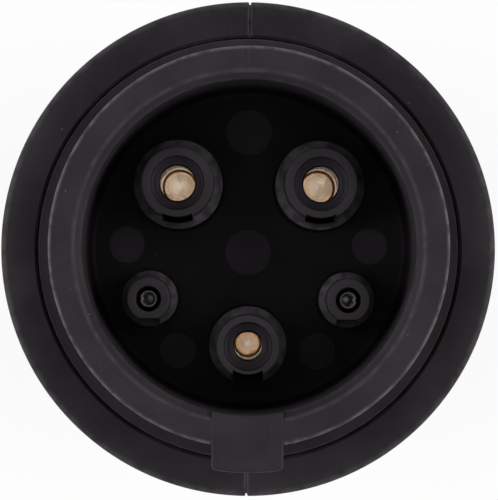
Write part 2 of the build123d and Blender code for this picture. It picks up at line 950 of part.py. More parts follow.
for side, label in ((-1, "left_shell"), (1, "right_shell")):
    with BuildPart() as shell:
        with BuildSketch(Plane.XZ):
            add(shell_outline.sketch)
        revolve(axis=Axis.Z)
        with BuildSketch(Plane.YZ):
            add(seam_outline.sketch)
            mirror(about=Plane.YZ)
        extrude(amount=seam_width / 2, both=True, mode=Mode.SUBTRACT)
        add(hollow.part, mode=Mode.SUBTRACT)
        for y, z in shell_screw_spots:
            if side > 0:
                with Locations(Plane(origin=(flange_radius, y, z), z_dir=(1, 0, 0))):
                    CounterBoreHole(
                        shell_screw_radius + slide_gap,
                        shell_screw_head + slide_gap,
                        flange_radius - shell_screw_seat,
                        flange_radius,
                    )
            else:
                with Locations(Plane(origin=(0, y, z), z_dir=(1, 0, 0))):
                    Hole(
                        shell_screw_radius + slide_gap,
                        shell_screw_length - shell_screw_seat + loose_gap,
                    )
        split(bisect_by=Plane.YZ, keep=Keep.TOP if side > 0 else Keep.BOTTOM)
    save(shell, label)

shell_screw = pan_screw(
    shell_screw_head,
    shell_screw_head_height,
    shell_screw_radius,
    shell_screw_length,
)
with BuildPart() as shell_screws:
    for y, z in shell_screw_spots:
        with Locations(Plane(origin=(shell_screw_seat, y, z), z_dir=(1, 0, 0))):
            add(shell_screw.part)
save(shell_screws, "shell_screws")
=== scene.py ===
"""Dresses the charging adapter: body, keyed plug nose, contacts and rear inlet.

Sizes are in millimetres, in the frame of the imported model: +Z runs towards the
plug nose, +Y is up and +X is right when the plug face is looked at.
"""
import json
import logging
from dataclasses import dataclass, field, replace
from enum import Enum
from math import acos, asin, cos, pi, radians, sin, sqrt, tan

import bmesh
import bpy
from mathutils import Matrix, Vector

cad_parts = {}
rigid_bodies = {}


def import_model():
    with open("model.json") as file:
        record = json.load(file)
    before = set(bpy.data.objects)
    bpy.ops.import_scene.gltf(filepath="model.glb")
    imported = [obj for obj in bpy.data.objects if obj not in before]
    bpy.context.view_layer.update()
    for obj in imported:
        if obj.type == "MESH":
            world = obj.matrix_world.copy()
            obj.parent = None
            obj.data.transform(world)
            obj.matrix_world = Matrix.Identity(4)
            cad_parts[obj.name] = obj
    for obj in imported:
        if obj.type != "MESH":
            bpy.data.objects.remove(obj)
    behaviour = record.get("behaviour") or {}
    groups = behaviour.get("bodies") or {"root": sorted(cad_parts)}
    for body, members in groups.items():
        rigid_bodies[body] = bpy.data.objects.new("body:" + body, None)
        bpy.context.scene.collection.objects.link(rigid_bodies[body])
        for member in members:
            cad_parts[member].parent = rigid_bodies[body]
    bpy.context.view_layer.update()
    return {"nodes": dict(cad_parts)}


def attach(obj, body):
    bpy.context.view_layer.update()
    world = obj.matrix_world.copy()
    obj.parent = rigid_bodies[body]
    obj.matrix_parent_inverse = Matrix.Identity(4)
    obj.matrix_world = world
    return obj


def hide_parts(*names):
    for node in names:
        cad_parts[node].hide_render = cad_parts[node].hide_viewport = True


MM = 0.001
BODY = "root"
SHARP_ANGLE = radians(38)
LOG = logging.getLogger("adapter")

Colour = tuple[float, float, float]
Spot = tuple[float, float]


class Join(Enum):
    """How a second solid changes the first."""

    FUSE = "UNION"
    CUT = "DIFFERENCE"


class Side(Enum):
    """The two mirror sides of the adapter, with the sign of X."""

    LEFT = -1
    RIGHT = 1

    @property
    def word(self) -> str:
        """Lower-case name of the side, as the nodes have it.

        Returns:
            The word.
        """
        return self.name.lower()


# Outlines and closed meshes


@dataclass(frozen=True)
class Corner:
    """Corner of an outline, as radius and height, with its arc and its share of edge wear and painted
    edge highlight.
    """

    radius: float
    height: float
    rounding: float = 0.0
    wear_and_highlight: float = 1.0


@dataclass(frozen=True)
class Stop:
    """Point of a finished outline, with its share of edge wear and painted edge highlight from 0 to
    1.
    """

    radius: float
    height: float
    edge: float = 0.0


def rounded(corners: list[Corner], steps: int = 5, rest: float = 0.12) -> list[Stop]:
    """Round the corners of a closed outline with arcs.

    Args:
        corners: Corners in order, each with its own rounding.
        steps: Number of chords in each arc.
        rest: Length of the plain strip kept beside each arc.

    Returns:
        The points of the outline, worn and highlit ones on the arcs.
    """
    stops: list[Stop] = []
    corners = [
        corner
        for i, corner in enumerate(corners)
        if (corner.radius, corner.height) != (corners[i - 1].radius, corners[i - 1].height)
    ]
    for i, corner in enumerate(corners):
        here = Vector((corner.radius, corner.height))
        last, after = corners[i - 1], corners[(i + 1) % len(corners)]
        back = Vector((last.radius, last.height)) - here
        ahead = Vector((after.radius, after.height)) - here
        if corner.rounding <= 0:
            stops.append(Stop(here.x, here.y))
            continue
        turn_angle = back.angle(ahead)
        reach = min(corner.rounding / tan(turn_angle / 2), 0.46 * min(back.length, ahead.length))
        arc_radius = reach * tan(turn_angle / 2)
        centre = here + (back.normalized() + ahead.normalized()).normalized() * (
            arc_radius / sin(turn_angle / 2)
        )
        spoke = here + back.normalized() * reach - centre
        sweep = (pi - turn_angle) * (1 if back.cross(ahead) < 0 else -1)
        if back.length > 2.2 * (reach + rest):
            before = here + back.normalized() * (reach + rest)
            stops.append(Stop(before.x, before.y))
        for step in range(steps + 1):
            angle = sweep * step / steps
            x = centre.x + spoke.x * cos(angle) - spoke.y * sin(angle)
            y = centre.y + spoke.x * sin(angle) + spoke.y * cos(angle)
            stops.append(Stop(x, y, corner.wear_and_highlight * sin(pi * (step + 0.5) / (steps + 1))))
        if ahead.length > 2.2 * (reach + rest):
            beyond = here + ahead.normalized() * (reach + rest)
            stops.append(Stop(beyond.x, beyond.y))
    return stops


def swell(start: Corner, end: Corner, steps: int = 10) -> list[Corner]:
    """Join two upright runs of an outline by an S of two equal arcs.

    Args:
        start: End of the first run.
        end: Start of the second run.
        steps: Number of chords in each arc.

    Returns:
        The points of the S, without its two ends.
    """
    half_rise = (end.height - start.height) / 2
    half_step = (end.radius - start.radius) / 2
    bend = (half_rise**2 + half_step**2) / (2 * abs(half_step))
    sign = 1 if half_step > 0 else -1
    points = []
    for i in range(1, 2 * steps):
        rise = 2 * half_rise * i / (2 * steps)
        if i <= steps:
            off = bend - sqrt(bend**2 - rise**2)
        else:
            off = 2 * abs(half_step) - bend + sqrt(bend**2 - (2 * half_rise - rise) ** 2)
        points.append(Corner(start.radius + sign * off, start.height + rise))
    return points


def skin(
    name: str,
    loops: list[list[Vector]],
    edges: list[list[float]] | None = None,
    along: list[float] | None = None,
    wrap: bool = False,
    caps: bool = False,
) -> bpy.types.Mesh:
    """Cover loops of points with faces.

    Args:
        name: Name of the mesh.
        loops: Closed loops with as many points each, in millimetres.
        edges: Edge wear and painted edge highlight of each point, if any.
        along: Distance of each loop along the outline, for turned work.
        wrap: Whether the last loop joins the first.
        caps: Whether the first and last loop are filled.

    Returns:
        A closed mesh in metres with its faces outwards.
    """
    form = bmesh.new()
    edge_layer = form.verts.layers.float.new("edge")
    along_layer = form.verts.layers.float.new("along")
    rows = []
    for i, loop in enumerate(loops):
        row = []
        for k, point in enumerate(loop):
            vert = form.verts.new(point * MM)
            vert[edge_layer] = edges[i][k] if edges else 0.0
            vert[along_layer] = along[i] if along else 0.0
            row.append(vert)
        rows.append(row)
    count = len(loops[0])
    pairs = list(zip(rows, rows[1:])) + ([(rows[-1], rows[0])] if wrap else [])
    for low, high in pairs:
        for k in range(count):
            n = (k + 1) % count
            form.faces.new((low[k], low[n], high[n], high[k]))
    if caps:
        form.faces.new(rows[0][::-1])
        form.faces.new(rows[-1])
    bmesh.ops.remove_doubles(form, verts=form.verts, dist=1e-8)
    bmesh.ops.dissolve_degenerate(form, edges=form.edges, dist=1e-9)
    bmesh.ops.recalc_face_normals(form, faces=form.faces)
    mesh = bpy.data.meshes.new(name)
    form.to_mesh(mesh)
    form.free()
    return mesh


def turned(
    name: str, outline: list[Stop], spot: Spot = (0.0, 0.0), segments: int = 96
) -> bpy.types.Mesh:
    """Turn an outline about an upright axis.

    Args:
        name: Name of the mesh.
        outline: Closed outline. One that meets the axis starts and ends on it.
        spot: Place of the axis, as x and y.
        segments: Number of faces round the axis.

    Returns:
        The turned mesh.
    """
    loops, edges, along = [], [], []
    run = 0.0
    for i, stop in enumerate(outline):
        if i:
            run += sqrt(
                (stop.radius - outline[i - 1].radius) ** 2
                + (stop.height - outline[i - 1].height) ** 2
            )
        loops.append(
            [
                Vector(
                    (
                        spot[0] + stop.radius * cos(2 * pi * k / segments),
                        spot[1] + stop.radius * sin(2 * pi * k / segments),
                        stop.height,
                    )
                )
                for k in range(segments)
            ]
        )
        edges.append([stop.edge] * segments)
        along.append(run)
    on_axis = outline[0].radius < 1e-6 and outline[-1].radius < 1e-6
    return skin(name, loops, edges, along, wrap=not on_axis)


def block(name: str, low: Vector, high: Vector) -> bpy.types.Mesh:
    """Make a box between two corners, used only to cut.

    Args:
        name: Name of the mesh.
        low: Lowest corner in millimetres.
        high: Highest corner in millimetres.

    Returns:
        The box as a closed mesh.
    """
    loops = [
        [
            Vector((low.x, low.y, z)),
            Vector((high.x, low.y, z)),
            Vector((high.x, high.y, z)),
            Vector((low.x, high.y, z)),
        ]
        for z in (low.z, high.z)
    ]
    return skin(name, loops, caps=True)


def laid(mesh: bpy.types.Mesh, turn: Matrix, origin: Vector) -> bpy.types.Mesh:
    """Turn and move the points of a mesh.

    Args:
        mesh: Mesh made at the origin.
        turn: Rotation.
        origin: Where the mesh's origin goes, in millimetres.

    Returns:
        The same mesh.
    """
    mesh.transform(Matrix.Translation(origin * MM) @ turn.to_4x4())
    return mesh


def combined(
    base: bpy.types.Mesh, tools: list[bpy.types.Mesh], join: Join
) -> bpy.types.Mesh:
    """Fuse solids with a base, or cut them out of it.

    Args:
        base: The solid to change.
        tools: The solids to add or take away.
        join: Which of the two.

    Returns:
        A new mesh. The meshes that went in are removed.

    Raises:
        ValueError: If nothing is left of the base.
    """
    scene = bpy.context.scene.collection
    folder = bpy.data.collections.new("tools")
    owner = bpy.data.objects.new("base", base)
    scene.objects.link(owner)
    for tool in tools:
        folder.objects.link(bpy.data.objects.new("tool", tool))
    change = owner.modifiers.new("join", "BOOLEAN")
    change.operation = join.value
    change.solver = "EXACT"
    change.operand_type = "COLLECTION"
    change.collection = folder
    result = evaluated(owner)
    result.name = base.name
    for tool in list(folder.objects):
        bpy.data.objects.remove(tool)
    bpy.data.collections.remove(folder)
    bpy.data.objects.remove(owner)
    for mesh in [base, *tools]:
        bpy.data.meshes.remove(mesh)
    if not result.polygons:
        raise ValueError(f"the cut or joint left nothing of {result.name}")
    return result


def evaluated(owner: bpy.types.Object) -> bpy.types.Mesh:
    """Read an object's mesh with its modifiers applied.

    Args:
        owner: Object in the scene.

    Returns:
        A plain mesh.
    """
    graph = bpy.context.evaluated_depsgraph_get()
    return bpy.data.meshes.new_from_object(owner.evaluated_get(graph), depsgraph=graph)


def place(
    name: str,
    mesh: bpy.types.Mesh,
    finish: bpy.types.Material,
    nodes: list[str],
) -> bpy.types.Object:
    """Put a finished piece on the body in place of its nodes.

    Args:
        name: Name of the piece.
        mesh: Its closed mesh, in place.
        finish: Its material, unless the mesh has its own.
        nodes: Nodes that the piece stands for.

    Returns:
        The piece.
    """
    form = bmesh.new()
    form.from_mesh(mesh)
    bmesh.ops.remove_doubles(form, verts=form.verts, dist=2e-7)
    bmesh.ops.dissolve_degenerate(form, edges=form.edges, dist=1e-8)
    form.to_mesh(mesh)
    form.free()
    mesh.shade_smooth()
    mesh.set_sharp_from_angle(angle=SHARP_ANGLE)
    if not mesh.materials:
        mesh.materials.append(finish)
    piece = bpy.data.objects.new(name, mesh)
    bpy.context.scene.collection.objects.link(piece)
    level = piece.modifiers.new("level", "WEIGHTED_NORMAL")
    level.keep_sharp = True
    level.weight = 100
    weighted = evaluated(piece)
    piece.modifiers.remove(level)
    piece.data = weighted
    bpy.data.meshes.remove(mesh)
    weighted.name = name
    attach(piece, BODY)
    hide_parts(*nodes)
    LOG.info("%s: %d faces for %s", name, len(weighted.polygons), ", ".join(nodes))
    return piece


# Node trees and shared effects


Value = bpy.types.NodeSocket | float


class Tree:
    """Short way to add and join the nodes of one tree."""

    def __init__(self, tree: bpy.types.NodeTree) -> None:
        """Keep the tree and clear it.

        Args:
            tree: The tree to fill.
        """
        self.tree = tree
        tree.nodes.clear()

    def add(self, kind: str, inputs: dict | None = None, **settings) -> bpy.types.Node:
        """Add a node.

        Args:
            kind: Blender's name for the node.
            inputs: Values or source sockets by input name or number.
            **settings: Settings of the node itself.

        Returns:
            The node.
        """
        node = self.tree.nodes.new(kind)
        for key, value in settings.items():
            setattr(node, key, value)
        for key, value in (inputs or {}).items():
            socket = node.inputs[key]
            if isinstance(value, bpy.types.NodeSocket):
                self.tree.links.new(value, socket)
            else:
                socket.default_value = value
        return node

    def math(
        self, operation: str, *values: Value, clamp: bool = False
    ) -> bpy.types.NodeSocket:
        """Add a sum of up to three values.

        Args:
            operation: Blender's name for the sum.
            *values: Values or source sockets, one to three.
            clamp: Whether the result stays from 0 to 1.

        Returns:
            The socket with the result.
        """
        node = self.add("ShaderNodeMath", dict(enumerate(values)), operation=operation)
        node.use_clamp = clamp
        return node.outputs[0]

    def ramp(
        self, value: Value, low: float, high: float, start: float = 0.0, end: float = 1.0
    ) -> bpy.types.NodeSocket:
        """Add a clamped map from low..high to start..end and return its result.

        Args:
            value: Source socket.
            low: Value that gives start.
            high: Value that gives end.
            start: Result at low and below.
            end: Result at high and above.

        Returns:
            The socket with the result.
        """
        return self.add(
            "ShaderNodeMapRange",
            {0: value, 1: low, 2: high, 3: start, 4: end},
            interpolation_type="SMOOTHSTEP",
        ).outputs[0]

    def mix(
        self, share: Value, first: Value | tuple, second: Value | tuple
    ) -> bpy.types.NodeSocket:
        """Add a mix of two colours and return its result.

        Args:
            share: Share of the second colour.
            first: First colour.
            second: Second colour.

        Returns:
            The socket with the result.
        """
        return self.add(
            "ShaderNodeMix", {0: share, 6: first, 7: second}, data_type="RGBA"
        ).outputs[2]


def new_group(name: str, inputs: dict[str, float | None], outputs: list[str]) -> tuple:
    """Start a shader node group.

    Args:
        name: Name of the group.
        inputs: Names of its inputs with their values, None for a vector.
        outputs: Names of its outputs.

    Returns:
        The tree helper, the group's input node and its output node.
    """
    group = bpy.data.node_groups.new(name, "ShaderNodeTree")
    tree = Tree(group)
    for key, value in inputs.items():
        kind = "NodeSocketVector" if value is None else "NodeSocketFloat"
        socket = group.interface.new_socket(key, in_out="INPUT", socket_type=kind)
        if value is not None:
            socket.default_value = value
    for key in outputs:
        group.interface.new_socket(key, in_out="OUTPUT", socket_type="NodeSocketFloat")
    return tree, tree.add("NodeGroupInput"), tree.add("NodeGroupOutput")


def moulded_grain() -> bpy.types.NodeTree:
    """Build the effect of a mould's eroded surface: pits, ripple and cloudy tone.

    Returns:
        The group's tree.
    """
    tree, given, result = new_group(
        "moulded_grain", {"Vector": None, "Scale": 1.0}, ["Height", "Tone", "Gloss"]
    )
    scaled = tree.add(
        "ShaderNodeVectorMath", {0: given.outputs[0], 3: given.outputs[1]}, operation="SCALE"
    ).outputs[0]
    pits = tree.add("ShaderNodeTexNoise", {"Vector": scaled, "Scale": 5200.0, "Detail": 3.0})
    cells = tree.add("ShaderNodeTexVoronoi", {"Vector": scaled, "Scale": 3600.0})
    ripple = tree.add("ShaderNodeTexNoise", {"Vector": scaled, "Scale": 420.0, "Detail": 2.0})
    cloud = tree.add("ShaderNodeTexNoise", {"Vector": scaled, "Scale": 150.0, "Detail": 5.0})
    fine = tree.math("MULTIPLY", pits.outputs[0], 0.6)
    dimples = tree.math("MULTIPLY_ADD", cells.outputs[0], 0.4, fine)
    tree.tree.links.new(
        tree.math("MULTIPLY_ADD", ripple.outputs[0], 0.25, dimples), result.inputs["Height"]
    )
    tree.tree.links.new(tree.ramp(cloud.outputs[0], 0.3, 0.72), result.inputs["Tone"])
    tree.tree.links.new(tree.ramp(ripple.outputs[0], 0.35, 0.7), result.inputs["Gloss"])
    return tree.tree


def rubbed_edges_and_highlights() -> bpy.types.NodeTree:
    """Build the effect of handling and of light on rounded edges: worn, broken lines along them,
    partly real wear and partly painted highlight.

    Returns:
        The group's tree.
    """
    tree, given, result = new_group(
        "rubbed_edges_and_highlights", {"Vector": None, "Edge": 0.0, "Amount": 0.5}, ["Mask"]
    )
    break_up = tree.add(
        "ShaderNodeTexNoise", {"Vector": given.outputs[0], "Scale": 700.0, "Detail": 4.0}
    )
    patchy = tree.ramp(break_up.outputs[0], 0.32, 0.62, 0.25, 1.0)
    worn_and_highlit = tree.math("MULTIPLY", given.outputs[1], patchy)
    tree.tree.links.new(
        tree.math("MULTIPLY", worn_and_highlit, given.outputs[2], clamp=True), result.inputs["Mask"]
    )
    return tree.tree


def settled_dust() -> bpy.types.NodeTree:
    """Build the effect of sparse dust specks and a few short fibres.

    Returns:
        The group's tree.
    """
    tree, given, result = new_group(
        "settled_dust", {"Vector": None, "Scale": 1.0, "Density": 0.5}, ["Mask"]
    )
    scaled = tree.add(
        "ShaderNodeVectorMath", {0: given.outputs[0], 3: given.outputs[1]}, operation="SCALE"
    ).outputs[0]
    cells = tree.add("ShaderNodeTexVoronoi", {"Vector": scaled, "Scale": 1500.0})
    chance = tree.add("ShaderNodeSeparateColor", {0: cells.outputs[1]})
    rare = tree.math("GREATER_THAN", given.outputs[2], chance.outputs[0])
    size = tree.math("MULTIPLY", chance.outputs[1], 0.17)
    dot = tree.math("GREATER_THAN", size, cells.outputs[0])
    tree.tree.links.new(tree.math("MULTIPLY", rare, dot), result.inputs["Mask"])
    return tree.tree


def fine_scratches() -> bpy.types.NodeTree:
    """Build the effect of hairline scratches in two directions.

    Returns:
        The group's tree.
    """
    tree, given, result = new_group(
        "fine_scratches", {"Vector": None, "Scale": 1.0, "Amount": 0.5}, ["Mask"]
    )
    lines = None
    for angle, stretch in ((0.5, 34.0), (-1.1, 52.0)):
        turned_vector = tree.add(
            "ShaderNodeMapping",
            {
                "Vector": given.outputs[0],
                "Rotation": (0.3, 0.2, angle),
                "Scale": (90.0 * stretch, 90.0, 90.0),
            },
        )
        noise = tree.add(
            "ShaderNodeTexNoise",
            {"Vector": turned_vector.outputs[0], "Scale": 1.0, "Detail": 2.0},
        )
        ridge = tree.math("ABSOLUTE", tree.math("SUBTRACT", noise.outputs[0], 0.5))
        line = tree.ramp(ridge, 0.0, 0.012, 1.0, 0.0)
        where = tree.add(
            "ShaderNodeTexNoise",
            {"Vector": given.outputs[0], "Scale": 260.0 * stretch / 40, "Detail": 1.0},
        )
        line = tree.math("MULTIPLY", line, tree.ramp(where.outputs[0], 0.58, 0.68))
        lines = line if lines is None else tree.math("MAXIMUM", lines, line)
    scaled = tree.math("MULTIPLY", lines, given.outputs[1])
    tree.tree.links.new(
        tree.math("MULTIPLY", scaled, given.outputs[2], clamp=True), result.inputs["Mask"]
    )
    return tree.tree


def turning_rings() -> bpy.types.NodeTree:
    """Build the effect of a lathe tool: fine rings along the turned outline.

    Returns:
        The group's tree.
    """
    tree, given, result = new_group(
        "turning_rings", {"Along": 0.0, "Height of work": 0.0, "Pitch": 14.0}, ["Height", "Tone"]
    )
    run = tree.math("ADD", given.outputs[0], given.outputs[1])
    row = tree.math("MULTIPLY", run, given.outputs[2])
    fine = tree.add(
        "ShaderNodeTexNoise", {"W": row, "Scale": 1.0, "Detail": 3.0}, noise_dimensions="1D"
    )
    broad = tree.add(
        "ShaderNodeTexNoise",
        {"W": tree.math("MULTIPLY", row, 0.13), "Scale": 1.0},
        noise_dimensions="1D",
    )
    tree.tree.links.new(fine.outputs[0], result.inputs["Height"])
    tree.tree.links.new(tree.ramp(broad.outputs[0], 0.35, 0.65), result.inputs["Tone"])
    return tree.tree


GROUPS = {
    "moulded_grain": moulded_grain,
    "rubbed_edges_and_highlights": rubbed_edges_and_highlights,
    "settled_dust": settled_dust,
    "fine_scratches": fine_scratches,
    "turning_rings": turning_rings,
}


def effect(tree: Tree, name: str, inputs: dict) -> bpy.types.Node:
    """Place a shared effect in a material.

    Args:
        tree: The material's tree.
        name: Name of the effect.
        inputs: Values or sockets by input name.

    Returns:
        The group node.
    """
    shared = bpy.data.node_groups.get(name) or GROUPS[name]()
    node = tree.add("ShaderNodeGroup", node_tree=shared)
    for key, value in inputs.items():
        if isinstance(value, bpy.types.NodeSocket):
            tree.tree.links.new(value, node.inputs[key])
        else:
            node.inputs[key].default_value = value
    return node


def rgba(colour: Colour, factor: float = 1.0) -> tuple[float, float, float, float]:
    """Give a colour times a factor as a socket takes it.

    Args:
        colour: Red, green and blue.
        factor: What they are multiplied by.

    Returns:
        The colour with full alpha.
    """
    return (*(min(1.0, part * factor) for part in colour), 1.0)


def new_material(name: str) -> tuple[bpy.types.Material, Tree, bpy.types.Node, bpy.types.NodeSocket]:
    """Start a material.

    Args:
        name: Name of the material.

    Returns:
        The material, its tree, its Principled shader and its Object coordinates.
    """
    material = bpy.data.materials.new(name)
    material.use_nodes = True
    tree = Tree(material.node_tree)
    shader = tree.add("ShaderNodeBsdfPrincipled")
    tree.add("ShaderNodeOutputMaterial", {"Surface": shader.outputs[0]})
    where = tree.add("ShaderNodeTexCoord").outputs["Object"]
    return material, tree, shader, where


# Finishes


@dataclass(frozen=True)
class MouldedPlastic:
    """Injection-moulded plastic with eroded grain, cloudy tone, dust, rubbed edges that are partly
    painted edge highlights, and painted shade in a recess.
    """

    name: str
    colour: Colour
    roughness: float = 0.5
    specular: float = 0.06
    deep: float = 1.0
    painted_shade_height: float = 0.1135
    painted_shade_floor_height: float = 0.102
    painted_shade_radius: float = 0.019
    painted_shade_blur: float = 0.001
    painted_shade_fall: float = 0.004
    painted_shade_rise: float = 0.003
    painted_shade_floor_share: float = 0.55
    painted_shade_gloss_loss: float = 0.75
    grain: float = 1.0
    relief: float = 0.25
    cloud: float = 0.16
    wear_and_highlight: float = 0.5
    worn_and_highlit: Colour = (0.13, 0.124, 0.13)
    dust: float = 0.05
    dust_colour: Colour = (0.085, 0.08, 0.082)

    def build(self) -> bpy.types.Material:
        """Make the material.

        Returns:
            The material.
        """
        material, tree, shader, where = new_material(self.name)
        grain = effect(tree, "moulded_grain", {"Vector": where, "Scale": self.grain})
        edge = tree.add("ShaderNodeAttribute", attribute_name="edge").outputs["Fac"]
        rubbed_and_highlit = effect(
            tree, "rubbed_edges_and_highlights", {"Vector": where, "Edge": edge, "Amount": self.wear_and_highlight}
        ).outputs[0]
        dust = effect(tree, "settled_dust", {"Vector": where, "Density": self.dust}).outputs[0]
        scratches = effect(tree, "fine_scratches", {"Vector": where, "Amount": 0.12}).outputs[0]
        tone = tree.mix(
            grain.outputs["Tone"],
            rgba(self.colour, 1 - self.cloud),
            rgba(self.colour, 1 + self.cloud),
        )
        # Painted shade: inside the mouth radius and below a height the tone is darkened towards black
        # and the specular lowered, less so on the floor, standing in for the shade of the recess.
        if self.deep < 1:
            x, y, height = tree.add("ShaderNodeSeparateXYZ", {0: where}).outputs
            across = tree.math("MULTIPLY", x, x)
            radius = tree.math("SQRT", tree.math("MULTIPLY_ADD", y, y, across))
            edge_of_mouth = self.painted_shade_radius + self.painted_shade_blur
            inside = tree.ramp(radius, self.painted_shade_radius, edge_of_mouth, 1.0, 0.0)
            low, high = self.painted_shade_height - self.painted_shade_fall, self.painted_shade_height + self.painted_shade_rise
            sunk = tree.ramp(height, low, high, 1.0, 0.0)
            over_floor = self.painted_shade_floor_height + self.painted_shade_fall
            lifted = tree.ramp(height, self.painted_shade_floor_height, over_floor, self.painted_shade_floor_share, 1.0)
            sunk = tree.math("MULTIPLY", tree.math("MULTIPLY", sunk, lifted), inside)
            tone = tree.mix(sunk, tone, tree.mix(1 - self.deep, tone, (0.0, 0.0, 0.0, 1.0)))
            painted_shade_gloss_drop = -self.painted_shade_gloss_loss * self.specular
            shaded_specular = tree.math("MULTIPLY_ADD", sunk, painted_shade_gloss_drop, self.specular)
            tree.tree.links.new(shaded_specular, shader.inputs["Specular IOR Level"])
        else:
            shader.inputs["Specular IOR Level"].default_value = self.specular
        # Scratches and rubbed edges take the lighter worn colour; along rounded edges it is partly
        # real wear and partly painted highlight lines.
        tone = tree.mix(scratches, tone, rgba(self.worn_and_highlit, 0.8))
        tone = tree.mix(rubbed_and_highlit, tone, rgba(self.worn_and_highlit))
        tone = tree.mix(dust, tone, rgba(self.dust_colour))
        tree.tree.links.new(tone, shader.inputs["Base Color"])
        rough = tree.math("MULTIPLY_ADD", grain.outputs["Gloss"], 0.08, self.roughness - 0.04)
        rough = tree.math("MULTIPLY_ADD", rubbed_and_highlit, -0.14, rough)
        rough = tree.math("MULTIPLY_ADD", dust, 0.3, rough, clamp=True)
        tree.tree.links.new(rough, shader.inputs["Roughness"])
        relief = tree.math("MULTIPLY_ADD", scratches, -0.4, grain.outputs["Height"])
        bump = tree.add(
            "ShaderNodeBump", {"Strength": self.relief, "Distance": 0.00005, "Height": relief}
        )
        tree.tree.links.new(bump.outputs[0], shader.inputs["Normal"])
        return material


@dataclass(frozen=True)
class TurnedMetal:
    """Turned and plated metal with tool rings, a blotchy plating, handling marks and a painted pale
    sheen where it is seen aslant.
    """

    name: str
    colour: Colour
    stain: Colour
    roughness: float = 0.28
    blotch: float = 0.45
    relief: float = 0.25
    mouth: Colour = (0.05, 0.045, 0.045)
    mouth_height: float = 1.0
    painted_sheen_colour: Colour = (0.96, 0.93, 0.9)
    haze: float = 0.0
    dull: float = 0.0

    def build(self) -> bpy.types.Material:
        """Make the material.

        Returns:
            The material.
        """
        material, tree, shader, where = new_material(self.name)
        along = tree.add("ShaderNodeAttribute", attribute_name="along").outputs["Fac"]
        height = tree.add("ShaderNodeSeparateXYZ", {0: where}).outputs[2]
        rings = effect(
            tree,
            "turning_rings",
            {"Along": along, "Height of work": tree.math("MULTIPLY", height, 400.0)},
        )
        blotches = tree.add(
            "ShaderNodeTexNoise", {"Vector": where, "Scale": 620.0, "Detail": 5.0, "Distortion": 0.6}
        )
        stained = tree.math(
            "MULTIPLY", tree.ramp(blotches.outputs[0], 0.42, 0.66), self.blotch
        )
        scratches = effect(tree, "fine_scratches", {"Vector": where, "Amount": 0.4}).outputs[0]
        tone = tree.mix(rings.outputs["Tone"], rgba(self.colour, 0.9), rgba(self.colour, 1.06))
        tone = tree.mix(stained, tone, rgba(self.stain))
        # Painted sheen: where the surface is seen aslant the colour is mixed towards a pale white,
        # made less metallic and rougher, standing in for white reflections at grazing angles.
        facing = tree.add("ShaderNodeLayerWeight", {"Blend": 0.5}).outputs["Facing"]
        painted_grazing_sheen = tree.ramp(facing, 0.7, 0.95)
        tone = tree.mix(painted_grazing_sheen, tone, rgba(self.painted_sheen_colour))
        rim = tree.ramp(height, self.mouth_height - 0.00025, self.mouth_height - 0.0001)
        tone = tree.mix(rim, tone, rgba(self.mouth))
        tree.tree.links.new(tone, shader.inputs["Base Color"])
        metallic = tree.math("MULTIPLY_ADD", painted_grazing_sheen, -self.dull, 1.0)
        tree.tree.links.new(metallic, shader.inputs["Metallic"])
        rough = tree.math("MULTIPLY_ADD", stained, 0.25, self.roughness)
        rough = tree.math("MULTIPLY_ADD", painted_grazing_sheen, self.haze, rough)
        rough = tree.math("MULTIPLY_ADD", scratches, 0.15, rough, clamp=True)
        tree.tree.links.new(rough, shader.inputs["Roughness"])
        relief = tree.math("MULTIPLY_ADD", blotches.outputs[0], 0.5, rings.outputs["Height"])
        bump = tree.add(
            "ShaderNodeBump", {"Strength": self.relief, "Distance": 0.00002, "Height": relief}
        )
        tree.tree.links.new(bump.outputs[0], shader.inputs["Normal"])
        return material


@dataclass(frozen=True)
class PlatedSteel:
    """Zinc-plated steel of the screws, with a cloudy spangle and bright worn edges."""

    name: str
    colour: Colour
    roughness: float = 0.34

    def build(self) -> bpy.types.Material:
        """Make the material.

        Returns:
            The material.
        """
        material, tree, shader, where = new_material(self.name)
        spangle = tree.add(
            "ShaderNodeTexVoronoi", {"Vector": where, "Scale": 1800.0}, feature="SMOOTH_F1"
        )
        edge = tree.add("ShaderNodeAttribute", attribute_name="edge").outputs["Fac"]
        rubbed_and_highlit = effect(tree, "rubbed_edges_and_highlights", {"Vector": where, "Edge": edge, "Amount": 0.8})
        scratches = effect(tree, "fine_scratches", {"Vector": where, "Amount": 0.8}).outputs[0]
        tone = tree.mix(
            tree.ramp(spangle.outputs[0], 0.1, 0.7), rgba(self.colour, 0.82), rgba(self.colour)
        )
        tone = tree.mix(rubbed_and_highlit.outputs[0], tone, rgba(self.colour, 1.4))
        tree.tree.links.new(tone, shader.inputs["Base Color"])
        shader.inputs["Metallic"].default_value = 1.0
        rough = tree.math("MULTIPLY_ADD", spangle.outputs[0], 0.18, self.roughness)
        rough = tree.math("MULTIPLY_ADD", scratches, 0.2, rough, clamp=True)
        tree.tree.links.new(rough, shader.inputs["Roughness"])
        bump = tree.add(
            "ShaderNodeBump",
            {"Strength": 0.2, "Distance": 0.00003, "Height": spangle.outputs[0]},
        )
        tree.tree.links.new(bump.outputs[0], shader.inputs["Normal"])
        return material


